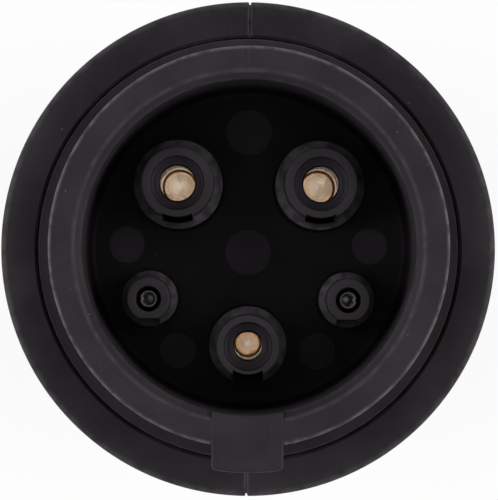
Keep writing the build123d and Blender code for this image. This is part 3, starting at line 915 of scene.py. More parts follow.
@dataclass(frozen=True)
class SoftSkin:
    """Rubber of a seal or insulation of a wire, with a dull bloom and extrusion lines."""

    name: str
    colour: Colour
    roughness: float = 0.6

    def build(self) -> bpy.types.Material:
        """Make the material.

        Returns:
            The material.
        """
        material, tree, shader, where = new_material(self.name)
        grain = effect(tree, "moulded_grain", {"Vector": where, "Scale": 0.7})
        dust = effect(tree, "settled_dust", {"Vector": where, "Density": 0.05}).outputs[0]
        tone = tree.mix(
            grain.outputs["Tone"], rgba(self.colour, 0.85), rgba(self.colour, 1.2)
        )
        tone = tree.mix(dust, tone, rgba((0.2, 0.19, 0.18)))
        tree.tree.links.new(tone, shader.inputs["Base Color"])
        rough = tree.math(
            "MULTIPLY_ADD", grain.outputs["Gloss"], 0.12, self.roughness, clamp=True
        )
        tree.tree.links.new(rough, shader.inputs["Roughness"])
        shader.inputs["Specular IOR Level"].default_value = 0.3
        bump = tree.add(
            "ShaderNodeBump",
            {"Strength": 0.3, "Distance": 0.00004, "Height": grain.outputs["Height"]},
        )
        tree.tree.links.new(bump.outputs[0], shader.inputs["Normal"])
        return material


BLACK: Colour = (0.0240, 0.0205, 0.0240)
SHELL_BLACK: Colour = (0.0186, 0.0160, 0.0186)


@dataclass
class Finishes:
    """Every finish of the adapter, made once."""

    shell: bpy.types.Material = field(
        default_factory=MouldedPlastic(
            "shell_plastic", SHELL_BLACK, 0.5, grain=0.8, cloud=0.26, wear_and_highlight=0.25
        ).build
    )
    # The nose plastic gets painted shade in its recess, where its tone is kept at 0.6.
    nose: bpy.types.Material = field(
        default_factory=MouldedPlastic("nose_plastic", BLACK, 0.44, relief=0.18, deep=0.6).build
    )
    mark: bpy.types.Material = field(
        default_factory=MouldedPlastic(
            "ejector_mark", (0.046, 0.040, 0.046), 0.56, 0.045, relief=0.3, wear_and_highlight=0.2
        ).build
    )
    inlet: bpy.types.Material = field(
        default_factory=MouldedPlastic("inlet_plastic", BLACK, 0.46, relief=0.18).build
    )
    tip: bpy.types.Material = field(
        default_factory=MouldedPlastic("tip_plastic", (0.02, 0.02, 0.021), 0.4, dust=0.01).build
    )
    retainer: bpy.types.Material = field(
        default_factory=MouldedPlastic("retainer_plastic", (0.04, 0.04, 0.043), 0.5).build
    )
    contact: bpy.types.Material = field(
        default_factory=TurnedMetal(
            "contact_brass",
            (0.94, 0.78, 0.62),
            (0.64, 0.50, 0.38),
            0.22,
            mouth_height=0.11665,
            haze=0.25,
            dull=0.7,
        ).build
    )
    band: bpy.types.Material = field(
        default_factory=TurnedMetal(
            "spring_metal", (0.94, 0.80, 0.65), (0.6, 0.47, 0.35), 0.3, blotch=0.6, haze=0.2, dull=0.5
        ).build
    )
    signal: bpy.types.Material = field(
        default_factory=TurnedMetal(
            "signal_metal",
            (0.8, 0.78, 0.77),
            (0.5, 0.49, 0.48),
            0.4,
            mouth=(0.075, 0.071, 0.075),
            mouth_height=0.118,
            haze=0.2,
            dull=0.6,
        ).build
    )
    pin: bpy.types.Material = field(
        default_factory=TurnedMetal(
            "pin_metal", (0.76, 0.72, 0.64), (0.5, 0.44, 0.34), roughness=0.24, blotch=0.25
        ).build
    )
    steel: bpy.types.Material = field(
        default_factory=PlatedSteel("screw_steel", (0.45, 0.45, 0.46)).build
    )
    rubber: bpy.types.Material = field(
        default_factory=SoftSkin("seal_rubber", (0.018, 0.018, 0.019)).build
    )
    black_wire: bpy.types.Material = field(
        default_factory=SoftSkin("power_insulation", (0.03, 0.03, 0.03), 0.5).build
    )
    green_wire: bpy.types.Material = field(
        default_factory=SoftSkin("ground_insulation", (0.05, 0.25, 0.08), 0.5).build
    )
    blue_wire: bpy.types.Material = field(
        default_factory=SoftSkin("signal_insulation", (0.08, 0.12, 0.35), 0.5).build
    )


# Sub-assemblies


@dataclass
class HalfShells:
    """The two half shells of the body, which meet in the plane X = 0."""

    length: float = 98.0
    bore: float = 21.5
    rear_radius: float = 26.6
    rear_band: float = 40.0
    rear_rounding: float = 1.2
    waist_radius: float = 24.5
    waist_back: float = 55.0
    waist_front: float = 74.0
    flange_radius: float = 29.1
    flange_back: float = 89.0
    flange_crown: float = 0.6
    flange_rounding: float = 1.0
    mouth_bore: float = 24.0
    mouth_depth: float = 5.2
    rear_groove: tuple[float, float, float] = (23.1, 34.0, 38.0)
    front_groove: tuple[float, float, float] = (26.5, 92.5, 96.5)
    lip_radius: float = 24.8
    lip_chamfer: float = 0.3
    core: float = 13.0
    seam_width: float = 0.2
    seam_depth: float = 0.3
    seam_rounding: float = 0.14
    screw_spots: tuple[Spot, ...] = ((-18.8, 52.0), (-18.8, 81.1), (18.8, 52.0), (18.8, 81.1))
    screw_seat: float = 8.0
    hole_radius: float = 1.55
    counterbore_radius: float = 2.85
    column_radius: float = 3.85
    stations: int = 88

    def outline(self) -> list[Stop]:
        """Give the outside of the body, closed along an inner core line.

        Returns:
            The points of the outline.
        """
        rear = Corner(self.rear_radius, self.rear_band)
        waist_low = Corner(self.waist_radius, self.waist_back)
        waist_high = Corner(self.waist_radius, self.waist_front)
        flange = Corner(self.flange_radius, self.flange_back)
        inner = self.lip_radius + self.lip_chamfer
        span = self.flange_radius - inner
        bend = (span**2 + self.flange_crown**2) / (2 * self.flange_crown)
        crown = [
            Corner(inner + span * share, self.length - bend + sqrt(bend**2 - (span * share) ** 2))
            for share in (0.55, 0.42, 0.28, 0.14, 0.0)
        ]
        return rounded(
            [
                Corner(self.core, 0),
                Corner(self.rear_radius, 0, self.rear_rounding),
                rear,
                *swell(rear, waist_low),
                waist_low,
                waist_high,
                *swell(waist_high, flange),
                flange,
                Corner(self.flange_radius, self.length - self.flange_crown, self.flange_rounding),
                *crown,
                Corner(self.core, self.length),
            ],
            steps=8,
        )

    def sunk(self, outline: list[Stop], depth: float) -> list[Stop]:
        """Move the outside of an outline inwards.

        Args:
            outline: Closed outline of the body.
            depth: How far it moves.

        Returns:
            An outline with as many points.
        """
        moved = []
        count = len(outline)
        for i, stop in enumerate(outline):
            if stop.radius <= self.core + 1e-6:
                inward = depth if stop.height < self.length / 2 else -depth
                moved.append(replace(stop, height=stop.height + inward))
                continue
            last, after = outline[i - 1], outline[(i + 1) % count]
            run = Vector((after.radius - last.radius, after.height - last.height)).normalized()
            moved.append(
                Stop(stop.radius - run.y * depth, stop.height + run.x * depth, stop.edge)
            )
        return moved

    def half(self, side: Side) -> bpy.types.Mesh:
        """Make one half of the body as a solid, with its softened seam edge.

        Args:
            side: Which half.

        Returns:
            A closed mesh.
        """
        outline = self.outline()
        near = self.seam_width / 2
        soft = self.seam_rounding
        # The third number of each row is the edge value of the seam's groove: its walls get edge wear
        # and painted highlight, which paints the seam as a light line.
        flat = [
            (0.0, self.seam_depth, 4.0),
            (near, self.seam_depth, 4.0),
            (near, soft, 3.0),
            (near + 0.3 * soft, 0.3 * soft, 1.2),
            (near + soft, 0.0, 0.6),
            (near + 2 * soft, 0.0, 0.0),
        ]
        loops, edges = [], []
        for top in (1, -1):
            rows = flat if top > 0 else flat[::-1]
            for x, depth, edge in rows:
                stops = self.sunk(outline, depth)
                loops.append(
                    [
                        Vector((side.value * x, top * sqrt(s.radius**2 - x**2), s.height))
                        for s in stops
                    ]
                )
                edges.append([max(edge, s.edge) for s in stops])
            if top > 0:
                for k in range(1, self.stations):
                    angle = pi / 2 - pi * k / self.stations
                    loops.append(
                        [
                            Vector(
                                (
                                    side.value * s.radius * cos(angle),
                                    s.radius * sin(angle),
                                    s.height,
                                )
                            )
                            for s in outline
                        ]
                    )
                    edges.append([s.edge for s in outline])
        return skin(f"half_{side.word}", loops, edges, caps=True)

    def hollow(self) -> bpy.types.Mesh:
        """Make the space inside the body, less the columns round the screws.

        Returns:
            A closed mesh.
        """
        rear, front = self.rear_groove, self.front_groove
        space = turned(
            "hollow",
            rounded(
                [
                    Corner(0, -1),
                    Corner(self.mouth_bore + 1.3, -1),
                    Corner(self.mouth_bore + 0.3, 0),
                    Corner(self.mouth_bore, 0.3),
                    Corner(self.mouth_bore, self.mouth_depth),
                    Corner(self.bore, self.mouth_depth),
                    Corner(self.bore, rear[1]),
                    Corner(rear[0], rear[1]),
                    Corner(rear[0], rear[2]),
                    Corner(self.bore, rear[2]),
                    Corner(self.bore, front[1]),
                    Corner(front[0], front[1]),
                    Corner(front[0], front[2]),
                    Corner(self.lip_radius, front[2]),
                    Corner(self.lip_radius, self.length - self.lip_chamfer, 0.15),
                    Corner(self.lip_radius + self.lip_chamfer, self.length),
                    Corner(self.lip_radius + self.lip_chamfer + 1, self.length + 1),
                    Corner(0, self.length + 1),
                ]
            ),
            segments=178,
        )
        columns = [
            self.along_x(
                "column",
                [
                    Corner(0, -30),
                    Corner(self.column_radius, -30),
                    Corner(self.column_radius, 30),
                    Corner(0, 30),
                ],
                spot,
            )
            for spot in self.screw_spots
        ]
        return combined(space, columns, Join.CUT)

    def along_x(self, name: str, corners: list[Corner], spot: Spot) -> bpy.types.Mesh:
        """Turn an outline about a line along X.

        Args:
            name: Name of the mesh.
            corners: Outline, its heights along X.
            spot: Place of the line, as y and z.

        Returns:
            The turned mesh.
        """
        return laid(
            turned(name, rounded(corners), segments=48),
            Matrix.Rotation(pi / 2, 3, "Y"),
            Vector((0, spot[0], spot[1])),
        )

    def holes(self, side: Side) -> list[bpy.types.Mesh]:
        """Make the screw holes to cut out of one half.

        Args:
            side: Which half: the screws enter the right one.

        Returns:
            The cutting meshes.
        """
        if side is Side.LEFT:
            corners = [
                Corner(0, -9.3),
                Corner(self.hole_radius, -9.3),
                Corner(self.hole_radius, 1),
                Corner(0, 1),
            ]
        else:
            corners = [
                Corner(0, -1),
                Corner(self.hole_radius, -1),
                Corner(self.hole_radius, self.screw_seat),
                Corner(self.counterbore_radius, self.screw_seat),
                Corner(self.counterbore_radius, 32),
                Corner(0, 32),
            ]
        return [self.along_x("hole", corners, spot) for spot in self.screw_spots]

    def dress(self, finishes: Finishes) -> None:
        """Build both half shells and put them in place.

        Args:
            finishes: The finishes to use.
        """
        for side in Side:
            solid = combined(self.half(side), [self.hollow()], Join.CUT)
            solid = combined(solid, self.holes(side), Join.CUT)
            place(
                f"half_shell_{side.word}",
                solid,
                finishes.shell,
                [f"{side.word}_shell"],
            )


@dataclass(frozen=True)
class Tower:
    """One stepped tower of the plug face, with its way for a socket."""

    spot: Spot
    barrel: float
    boss: float
    face: float
    recess: float
    lip: float
    way: float
    way_front: float
    notch_width: float
    notch_root: float
    notch_depth: float
    notch_foot: float
    arched: bool = True


@dataclass
class PlugNose:
    """The nose moulding: keyed collar, recess floor, towers, clamp flange and skirt."""

    front: float = 126.0
    key_proud: float = 0.06
    collar_radius: float = 21.9
    collar_edge: float = 0.32
    mouth_radius: float = 18.27
    mouth_chamfer: float = 0.9
    floor_front: float = 101.0
    floor_back: float = 97.0
    floor_fillet: float = 0.5
    clamp_radius: float = 26.4
    clamp: tuple[float, float] = (92.5, 96.5)
    foot_radius: float = 24.7
    foot_front: float = 97.6
    skirt_radius: float = 21.2
    skirt_bore: float = 18.27
    skirt_back: float = 86.5
    seal_groove: tuple[float, float, float] = (19.7, 88.5, 90.5)
    key_width: float = 7.8
    key_radius: float = 24.6
    key_corner: float = 0.6
    key_edge: float = 0.3
    tower_front: float = 119.5
    shoulder: float = 112.5
    shoulder_slope: float = 0.9
    foot_fillet: float = 0.4
    mark_depth: float = 0.12
    marks: tuple[tuple[float, float, float], ...] = (
        (0.0, 13.5, 2.65),
        (0.0, -0.45, 2.65),
        (-14.05, 0.35, 2.1),
        (14.05, 0.35, 2.1),
        (-8.1, -11.9, 2.1),
        (8.1, -11.9, 2.1),
    )

    def towers(self) -> list[Tower]:
        """List the five towers.

        Returns:
            The towers, each with its place.
        """
        foot = self.floor_front + 0.02
        power = Tower((0, 0), 4.03, 5.05, 3.0, 2.0, 2.09, 3.05, 116.7, 3.3, 3.75, 0.6, foot)
        ground = Tower((0, -11.0), 3.52, 4.4, 2.7, 2.0, 1.71, 2.46, 116.7, 3.3, 3.08, 1.6, foot)
        signal = Tower(
            (0, 0), 2.43, 3.15, 1.4, 8.0, 1.05, 1.05, 111.5, 2.2, 2.12, 3.0, self.shoulder, False
        )
        return [
            *(replace(power, spot=(side.value * 8.0, 7.1)) for side in Side),
            *(replace(signal, spot=(side.value * 11.1, -5.8)) for side in Side),
            ground,
        ]

    def body(self) -> bpy.types.Mesh:
        """Make the turned body of the moulding.

        Returns:
            A closed mesh.
        """
        # The fourth number of a corner is its edge wear and painted edge highlight; the collar's
        # outer edge and the mouth chamfer get the most, painted as light lines.
        groove = self.seal_groove
        face = self.front - self.key_proud
        return turned(
            "nose",
            rounded(
                [
                    Corner(0, self.floor_back),
                    Corner(self.skirt_bore, self.floor_back),
                    Corner(self.skirt_bore, self.skirt_back),
                    Corner(self.skirt_radius, self.skirt_back, 0.3),
                    Corner(self.skirt_radius, groove[1]),
                    Corner(groove[0], groove[1]),
                    Corner(groove[0], groove[2]),
                    Corner(self.skirt_radius, groove[2]),
                    Corner(self.skirt_radius, self.clamp[0]),
                    Corner(self.clamp_radius, self.clamp[0]),
                    Corner(self.clamp_radius, self.clamp[1]),
                    Corner(self.foot_radius, self.clamp[1]),
                    Corner(self.foot_radius, self.foot_front, 0.15, 0.5),
                    Corner(self.collar_radius, self.foot_front, 0.4, 0.0),
                    Corner(self.collar_radius, face, self.collar_edge, 1.35),
                    Corner(self.mouth_radius + self.mouth_chamfer, face, 0.7, 0.35),
                    Corner(self.mouth_radius, face - self.mouth_chamfer, 0.7, 0.35),
                    Corner(self.mouth_radius, self.floor_front, self.floor_fillet, 0.0),
                    Corner(0, self.floor_front),
                ]
            ),
            segments=224,
        )

    def key(self) -> bpy.types.Mesh:
        """Make the key along the foot of the collar, its corners and front edge rounded.

        Returns:
            A closed mesh.
        """
        half = self.key_width / 2

        def ring(height: float, inset: float) -> list[Vector]:
            """Give the outline of the key at one height, drawn in by inset.

            Args:
                height: Its height.
                inset: How far it is drawn in.

            Returns:
                The points in order.
            """
            width = half - inset
            outer = self.key_radius - inset
            inner = self.mouth_radius + 0.05 + inset
            corner = self.key_corner
            tilt = asin((width - corner) / (outer - corner))
            points = []
            for side in (-1, 1):
                centre = Vector((side * (width - corner), -(outer - corner) * cos(tilt)))
                arc = []
                for step in range(7):
                    angle = (pi / 2 - tilt) * step / 6
                    arc.append(
                        Vector(
                            (
                                centre.x + side * corner * cos(angle),
                                centre.y - corner * sin(angle),
                                height,
                            )
                        )
                    )
                points.append(arc)
            foot = [
                Vector((outer * sin(a), -outer * cos(a), height))
                for a in (tilt * (k / 6) for k in range(-5, 6))
            ]
            reach = asin(width / inner)
            head = [
                Vector((inner * sin(a), -inner * cos(a), height))
                for a in (reach * (1 - k / 6) for k in range(13))
            ]
            return [*points[0], *foot, *points[1][::-1], *head]

        loops, edges = [], []
        # The third number of each row is edge wear and painted highlight along the key's rounded
        # front edge.
        low = [(self.clamp[1] - 1.0, 0.0, 0.0), (self.front - self.key_edge - 0.12, 0.0, 0.0)]
        arc = [
            (
                self.front - self.key_edge * (1 - sin(angle)),
                self.key_edge * (1 - cos(angle)),
                1.7,
            )
            for angle in (pi / 2 * k / 6 for k in range(7))
        ]
        for height, inset, edge in [*low, *arc, (self.front, self.key_edge + 0.12, 0.2)]:
            loops.append(ring(height, inset))
            edges.append([edge] * len(loops[-1]))
        return skin("key", loops, edges, caps=True)

    def tower(self, tower: Tower) -> bpy.types.Mesh:
        """Make the outside of a tower.

        Args:
            tower: Its sizes.

        Returns:
            A closed mesh that reaches a little into the floor.
        """
        floor = self.floor_front
        return turned(
            "tower",
            rounded(
                [
                    Corner(0, floor - 0.6),
                    Corner(tower.boss + 0.7, floor - 0.6),
                    Corner(tower.boss + 0.7, floor - 0.015),
                    Corner(tower.boss, floor, self.foot_fillet, 0.0),
                    Corner(tower.boss, self.shoulder, 0.22, 0.1),
                    Corner(tower.barrel, self.shoulder + self.shoulder_slope, 0.3, 0.0),
                    Corner(tower.barrel, self.tower_front, 0.2, 0.5),
                    Corner(0, self.tower_front),
                ],
                steps=4,
            ),
            tower.spot,
            segments=112,
        )

    def way(self, tower: Tower) -> bpy.types.Mesh:
        """Make the space for a socket, its lip opening and its face recess.

        Args:
            tower: Sizes of the tower that it goes through.

        Returns:
            A closed mesh to cut.
        """
        top = self.tower_front
        seat = top - tower.recess
        return turned(
            "way",
            rounded(
                [
                    Corner(0, self.floor_back - 1),
                    Corner(tower.way, self.floor_back - 1),
                    Corner(tower.way, tower.way_front),
                    Corner(tower.lip, tower.way_front),
                    Corner(tower.lip, seat, 0.25, 0.3),
                    Corner(tower.face, seat, 0.35, 0.0),
                    Corner(tower.face, top, 0.3, 0.2),
                    Corner(tower.face + 0.3, top + 0.01),
                    Corner(tower.face + 0.3, top + 1),
                    Corner(0, top + 1),
                ],
                steps=3,
                rest=0.06,
            ),
            tower.spot,
            segments=96,
        )

    def notch(self, tower: Tower) -> bpy.types.Mesh:
        """Make the drain notch at the lower side of a tower.

        Args:
            tower: Its sizes.

        Returns:
            A closed mesh to cut.
        """
        x, y = tower.spot
        half = tower.notch_width / 2

        def side(reach: float, height: float) -> list[Vector]:
            """Give one long side of the notch, an arc about the tower or a flat.

            Args:
                reach: Distance from the tower's axis.
                height: Its height.

            Returns:
                The points from left to right.
            """
            return [
                Vector((x + u, y - (sqrt(reach**2 - u**2) if tower.arched else reach), height))
                for u in (half * (k / 6 - 1) for k in range(13))
            ]

        outer = tower.notch_root + tower.notch_depth
        loops = [
            side(outer, height) + side(tower.notch_root, height)[::-1]
            for height in (tower.notch_foot, self.tower_front + 1)
        ]
        return skin("notch", loops, caps=True)

    def dress(self, finishes: Finishes) -> None:
        """Build the moulding and put it in place.

        Args:
            finishes: The finishes to use.
        """
        towers = self.towers()
        solid = combined(self.body(), [self.key()], Join.FUSE)
        solid = combined(solid, [self.tower(tower) for tower in towers], Join.FUSE)
        solid = combined(solid, [self.notch(tower) for tower in towers], Join.CUT)
        solid = combined(solid, [self.way(tower) for tower in towers], Join.CUT)
        discs = [
            turned(
                "mark",
                rounded(
                    [
                        Corner(0, self.floor_front - self.mark_depth),
                        Corner(radius, self.floor_front - self.mark_depth),
                        Corner(radius + 0.03, self.floor_front + 1),
                        Corner(0, self.floor_front + 1),
                    ]
                ),
                (x, y),
                72,
            )
            for x, y, radius in self.marks
        ]
        solid = combined(solid, discs, Join.CUT)
        solid.materials.clear()
        solid.materials.append(finishes.nose)
        solid.materials.append(finishes.mark)
        depth = (self.floor_front - self.mark_depth) * MM
        for face in solid.polygons:
            sunk = abs(face.center.z - depth) < 0.00002 and face.normal.z > 0.9
            face.material_index = 1 if sunk else 0
        place("nose_moulding", solid, finishes.nose, ["plug_nose"])


@dataclass(frozen=True)
class Socket:
    """Sizes of one turned socket with a guide bore and a groove for its band."""

    name: str
    spot: Spot
    bore: float
    body: float
    shoulder: float
    crimp: float
    core: float


@dataclass
class Sockets:
    """The five sockets of the plug nose and the spring bands in three of them."""

    front: float = 116.65
    signal_front: float = 118.0
    floor_back: float = 97.0
    plate_front: float = 95.0
    crimp_end: float = 80.0
    crimp_hole: float = 9.0
    entry: float = 0.15
    guide: float = 4.5
    groove_length: float = 9.0
    groove_depth: float = 0.45
    bore_depth: float = 17.0
    bore_point: float = 0.4
    band_wall: float = 0.16
    band_rim: float = 0.9
    band_play: float = 0.05
    band_squeeze: float = 0.2
    slats: int = 10
    slot_width: float = 0.3
    signal_bore: float = 0.75
    signal_body: float = 0.95
    signal_depth: float = 9.0
    slit_width: float = 0.3
    slit_length: float = 6.0

    def kinds(self) -> list[Socket]:
        """List the three banded sockets.

        Returns:
            The sockets, each with its place.
        """
        power = Socket("power_socket", (0, 0), 1.95, 2.95, 3.8, 3.3, 2.35)
        ground = Socket("ground_socket", (0, -11.0), 1.55, 2.36, 3.4, 2.8, 1.95)
        return [
            *(
                replace(power, name=f"power_socket_{side.word}", spot=(side.value * 8.0, 7.1))
                for side in Side
            ),
            ground,
        ]

    def turned_socket(self, kind: Socket) -> bpy.types.Mesh:
        """Turn a banded socket.

        Args:
            kind: Its sizes.

        Returns:
            A closed mesh.
        """
        groove = kind.bore + self.groove_depth
        back = self.front - self.guide - self.groove_length
        return turned(
            kind.name,
            rounded(
                [
                    Corner(0, self.crimp_end + self.crimp_hole),
                    Corner(kind.core, self.crimp_end + self.crimp_hole),
                    Corner(kind.core, self.crimp_end),
                    Corner(kind.crimp, self.crimp_end, 0.15),
                    Corner(kind.crimp, self.plate_front),
                    Corner(kind.shoulder, self.plate_front, 0.15),
                    Corner(kind.shoulder, self.floor_back, 0.15),
                    Corner(kind.body, self.floor_back),
                    Corner(kind.body, self.front, 0.15),
                    Corner(kind.bore + self.entry, self.front, 0.06),
                    Corner(kind.bore, self.front - self.entry, 0.1),
                    Corner(kind.bore, self.front - self.guide, 0.1),
                    Corner(groove, self.front - self.guide),
                    Corner(groove, back),
                    Corner(kind.bore, back, 0.1),
                    Corner(kind.bore, self.front - self.bore_depth, 0.2),
                    Corner(0, self.front - self.bore_depth - self.bore_point),
                ],
                steps=3,
                rest=0.06,
            ),
            kind.spot,
            segments=96,
        )

    def band_tree(self) -> bpy.types.NodeTree:
        """Build the tree that sets waisted slats between two rims, round a bore.

        Returns:
            The group's tree.
        """
        group = bpy.data.node_groups.new("spring_band", "GeometryNodeTree")
        tree = Tree(group)
        group.interface.new_socket("Geometry", in_out="OUTPUT", socket_type="NodeSocketGeometry")
        for name, kind, value in (
            ("Outer", "NodeSocketFloat", 2.3),
            ("Waist", "NodeSocketFloat", 1.8),
            ("Back", "NodeSocketFloat", 104.0),
            ("Length", "NodeSocketFloat", 8.9),
            ("Rim", "NodeSocketFloat", 0.9),
            ("Slot", "NodeSocketFloat", 0.3),
            ("Slats", "NodeSocketInt", 10),
            ("Metal", "NodeSocketMaterial", None),
        ):
            socket = group.interface.new_socket(name, in_out="INPUT", socket_type=kind)
            if value is not None:
                socket.default_value = value
        given = tree.add("NodeGroupInput").outputs
        outer, waist, back, length, rim = (given[k] for k in range(5))
        slot, slats, metal = given[5], given[6], given[7]

        def bent(grid: bpy.types.NodeSocket, squeezed: bool) -> bpy.types.NodeSocket:
            """Roll a flat grid, whose x is an angle and y a height, into the band.

            Args:
                grid: The flat grid.
                squeezed: Whether the band narrows in the middle.

            Returns:
                The socket with the result.
            """
            place_at = tree.add("GeometryNodeInputPosition").outputs[0]
            parts = tree.add("ShaderNodeSeparateXYZ", {0: place_at}).outputs
            radius = outer
            if squeezed:
                free = tree.math("SUBTRACT", length, tree.math("MULTIPLY", rim, 2.0))
                share = tree.math("DIVIDE", parts[1], tree.math("MULTIPLY", free, 0.5))
                bow = tree.math("SUBTRACT", 1.0, tree.math("MULTIPLY", share, share))
                drop = tree.math("SUBTRACT", outer, waist)
                radius = tree.math("SUBTRACT", outer, tree.math("MULTIPLY", drop, bow))
            x = tree.math("MULTIPLY", radius, tree.math("COSINE", parts[0]))
            y = tree.math("MULTIPLY", radius, tree.math("SINE", parts[0]))
            rolled = tree.add("ShaderNodeCombineXYZ", {0: x, 1: y, 2: parts[1]}).outputs[0]
            return tree.add(
                "GeometryNodeSetPosition", {"Geometry": grid, "Position": rolled}
            ).outputs[0]

        pitch = tree.math("DIVIDE", 2 * pi, slats)
        opening = tree.math("DIVIDE", slot, outer)
        free = tree.math("SUBTRACT", length, tree.math("MULTIPLY", rim, 2.0))
        slat = bent(
            tree.add(
                "GeometryNodeMeshGrid",
                {0: tree.math("SUBTRACT", pitch, opening), 1: free, 2: 5, 3: 17},
            ).outputs[0],
            True,
        )
        ring = tree.add("GeometryNodeMeshCircle", {"Vertices": slats, "Radius": 1.0}).outputs[0]
        index = tree.add("GeometryNodeInputIndex").outputs[0]
        spin = tree.add("ShaderNodeCombineXYZ", {2: tree.math("MULTIPLY", index, pitch)}).outputs[0]
        gathered = tree.add(
            "GeometryNodeSetPosition",
            {"Geometry": ring, "Position": (0.0, 0.0, 0.0)},
        ).outputs[0]
        cage = tree.add(
            "GeometryNodeInstanceOnPoints",
            {"Points": gathered, "Instance": slat, "Rotation": spin},
        ).outputs[0]
        join = tree.add("GeometryNodeJoinGeometry")
        tree.tree.links.new(cage, join.inputs[0])
        for sign in (-1.0, 1.0):
            hoop = bent(
                tree.add("GeometryNodeMeshGrid", {0: 2 * pi, 1: rim, 2: 61, 3: 4}).outputs[0],
                False,
            )
            shift = tree.math(
                "MULTIPLY", tree.math("SUBTRACT", length, rim), 0.5 * sign
            )
            offset = tree.add("ShaderNodeCombineXYZ", {2: shift}).outputs[0]
            moved = tree.add(
                "GeometryNodeTransform", {"Geometry": hoop, "Translation": offset}
            ).outputs[0]
            tree.tree.links.new(moved, join.inputs[0])
        centre = tree.math("ADD", back, tree.math("MULTIPLY", length, 0.5))
        rise = tree.add("ShaderNodeCombineXYZ", {2: centre}).outputs[0]
        lifted = tree.add(
            "GeometryNodeTransform",
            {"Geometry": join.outputs[0], "Translation": rise},
        ).outputs[0]
        scaled = tree.add(
            "GeometryNodeTransform", {"Geometry": lifted, "Scale": (MM, MM, MM)}
        ).outputs[0]
        real = tree.add("GeometryNodeRealizeInstances", {0: scaled}).outputs[0]
        sealed = tree.add(
            "GeometryNodeMergeByDistance", {"Geometry": real, "Distance": 2e-6}
        ).outputs[0]
        coated = tree.add(
            "GeometryNodeSetMaterial", {"Geometry": sealed, "Material": metal}
        ).outputs[0]
        tree.add("NodeGroupOutput", {0: coated})
        return group

    def band(self, kind: Socket, metal: bpy.types.Material) -> bpy.types.Mesh:
        """Make the spring band of a socket.

        Args:
            kind: Sizes of the socket.
            metal: Its finish.

        Returns:
            A closed mesh, in place.
        """
        owner = bpy.data.objects.new("band", bpy.data.meshes.new("band"))
        bpy.context.scene.collection.objects.link(owner)
        grow = owner.modifiers.new("grow", "NODES")
        grow.node_group = bpy.data.node_groups.get("spring_band") or self.band_tree()
        outer = kind.bore + self.groove_depth - self.band_play
        sizes = {
            "Outer": outer - self.band_wall,
            "Waist": kind.bore - self.band_squeeze,
            "Back": self.front - self.guide - self.groove_length + self.band_play,
            "Length": self.groove_length - 2 * self.band_play,
            "Rim": self.band_rim,
            "Slot": self.slot_width,
            "Slats": self.slats,
            "Metal": metal,
        }
        for item in grow.node_group.interface.items_tree:
            if item.in_out == "INPUT":
                grow[item.identifier] = sizes[item.name]
        wall = owner.modifiers.new("wall", "SOLIDIFY")
        wall.thickness = self.band_wall * MM
        wall.offset = 1.0
        wall.use_even_offset = True
        mesh = evaluated(owner)
        bpy.data.objects.remove(owner)
        form = bmesh.new()
        form.from_mesh(mesh)
        bmesh.ops.recalc_face_normals(form, faces=form.faces)
        form.to_mesh(mesh)
        form.free()
        return laid(mesh, Matrix.Identity(3), Vector((*kind.spot, 0)))

    def split_socket(self, side: Side) -> bpy.types.Mesh:
        """Turn a signal socket and slit it on its outer side.

        Args:
            side: Which of the two.

        Returns:
            A closed mesh.
        """
        spot = (side.value * 11.1, -5.8)
        back = self.signal_front - self.signal_depth
        tube = turned(
            "signal_socket",
            rounded(
                [
                    Corner(0, self.crimp_end + self.crimp_hole),
                    Corner(0.65, self.crimp_end + self.crimp_hole),
                    Corner(0.65, self.crimp_end),
                    Corner(1.2, self.crimp_end, 0.1),
                    Corner(1.2, self.plate_front),
                    Corner(2.0, self.plate_front, 0.1),
                    Corner(2.0, self.floor_back, 0.1),
                    Corner(self.signal_body, self.floor_back),
                    Corner(self.signal_body, self.signal_front, 0.06),
                    Corner(self.signal_bore, self.signal_front, 0.06),
                    Corner(self.signal_bore, back),
                    Corner(0, back - self.signal_bore),
                ],
                steps=3,
                rest=0.03,
            ),
            spot,
            segments=64,
        )
        half = self.slit_width / 2
        ends = sorted((spot[0], spot[0] + side.value * 1.5))
        slit = block(
            "slit",
            Vector((ends[0], spot[1] - half, self.signal_front - self.slit_length)),
            Vector((ends[1], spot[1] + half, self.signal_front + 1)),
        )
        return combined(tube, [slit], Join.CUT)

    def dress(self, finishes: Finishes) -> None:
        """Build the sockets and bands and put them in place.

        Args:
            finishes: The finishes to use.
        """
        for kind in self.kinds():
            place(
                f"turned_{kind.name}",
                self.turned_socket(kind),
                finishes.contact,
                [kind.name],
            )
            node = kind.name.replace("socket", "band")
            place(
                f"slatted_{node}",
                self.band(kind, finishes.band),
                finishes.band,
                [node],
            )
        for side in Side:
            place(
                f"split_signal_socket_{side.word}",
                self.split_socket(side),
                finishes.signal,
                [f"signal_socket_{side.word}"],
            )


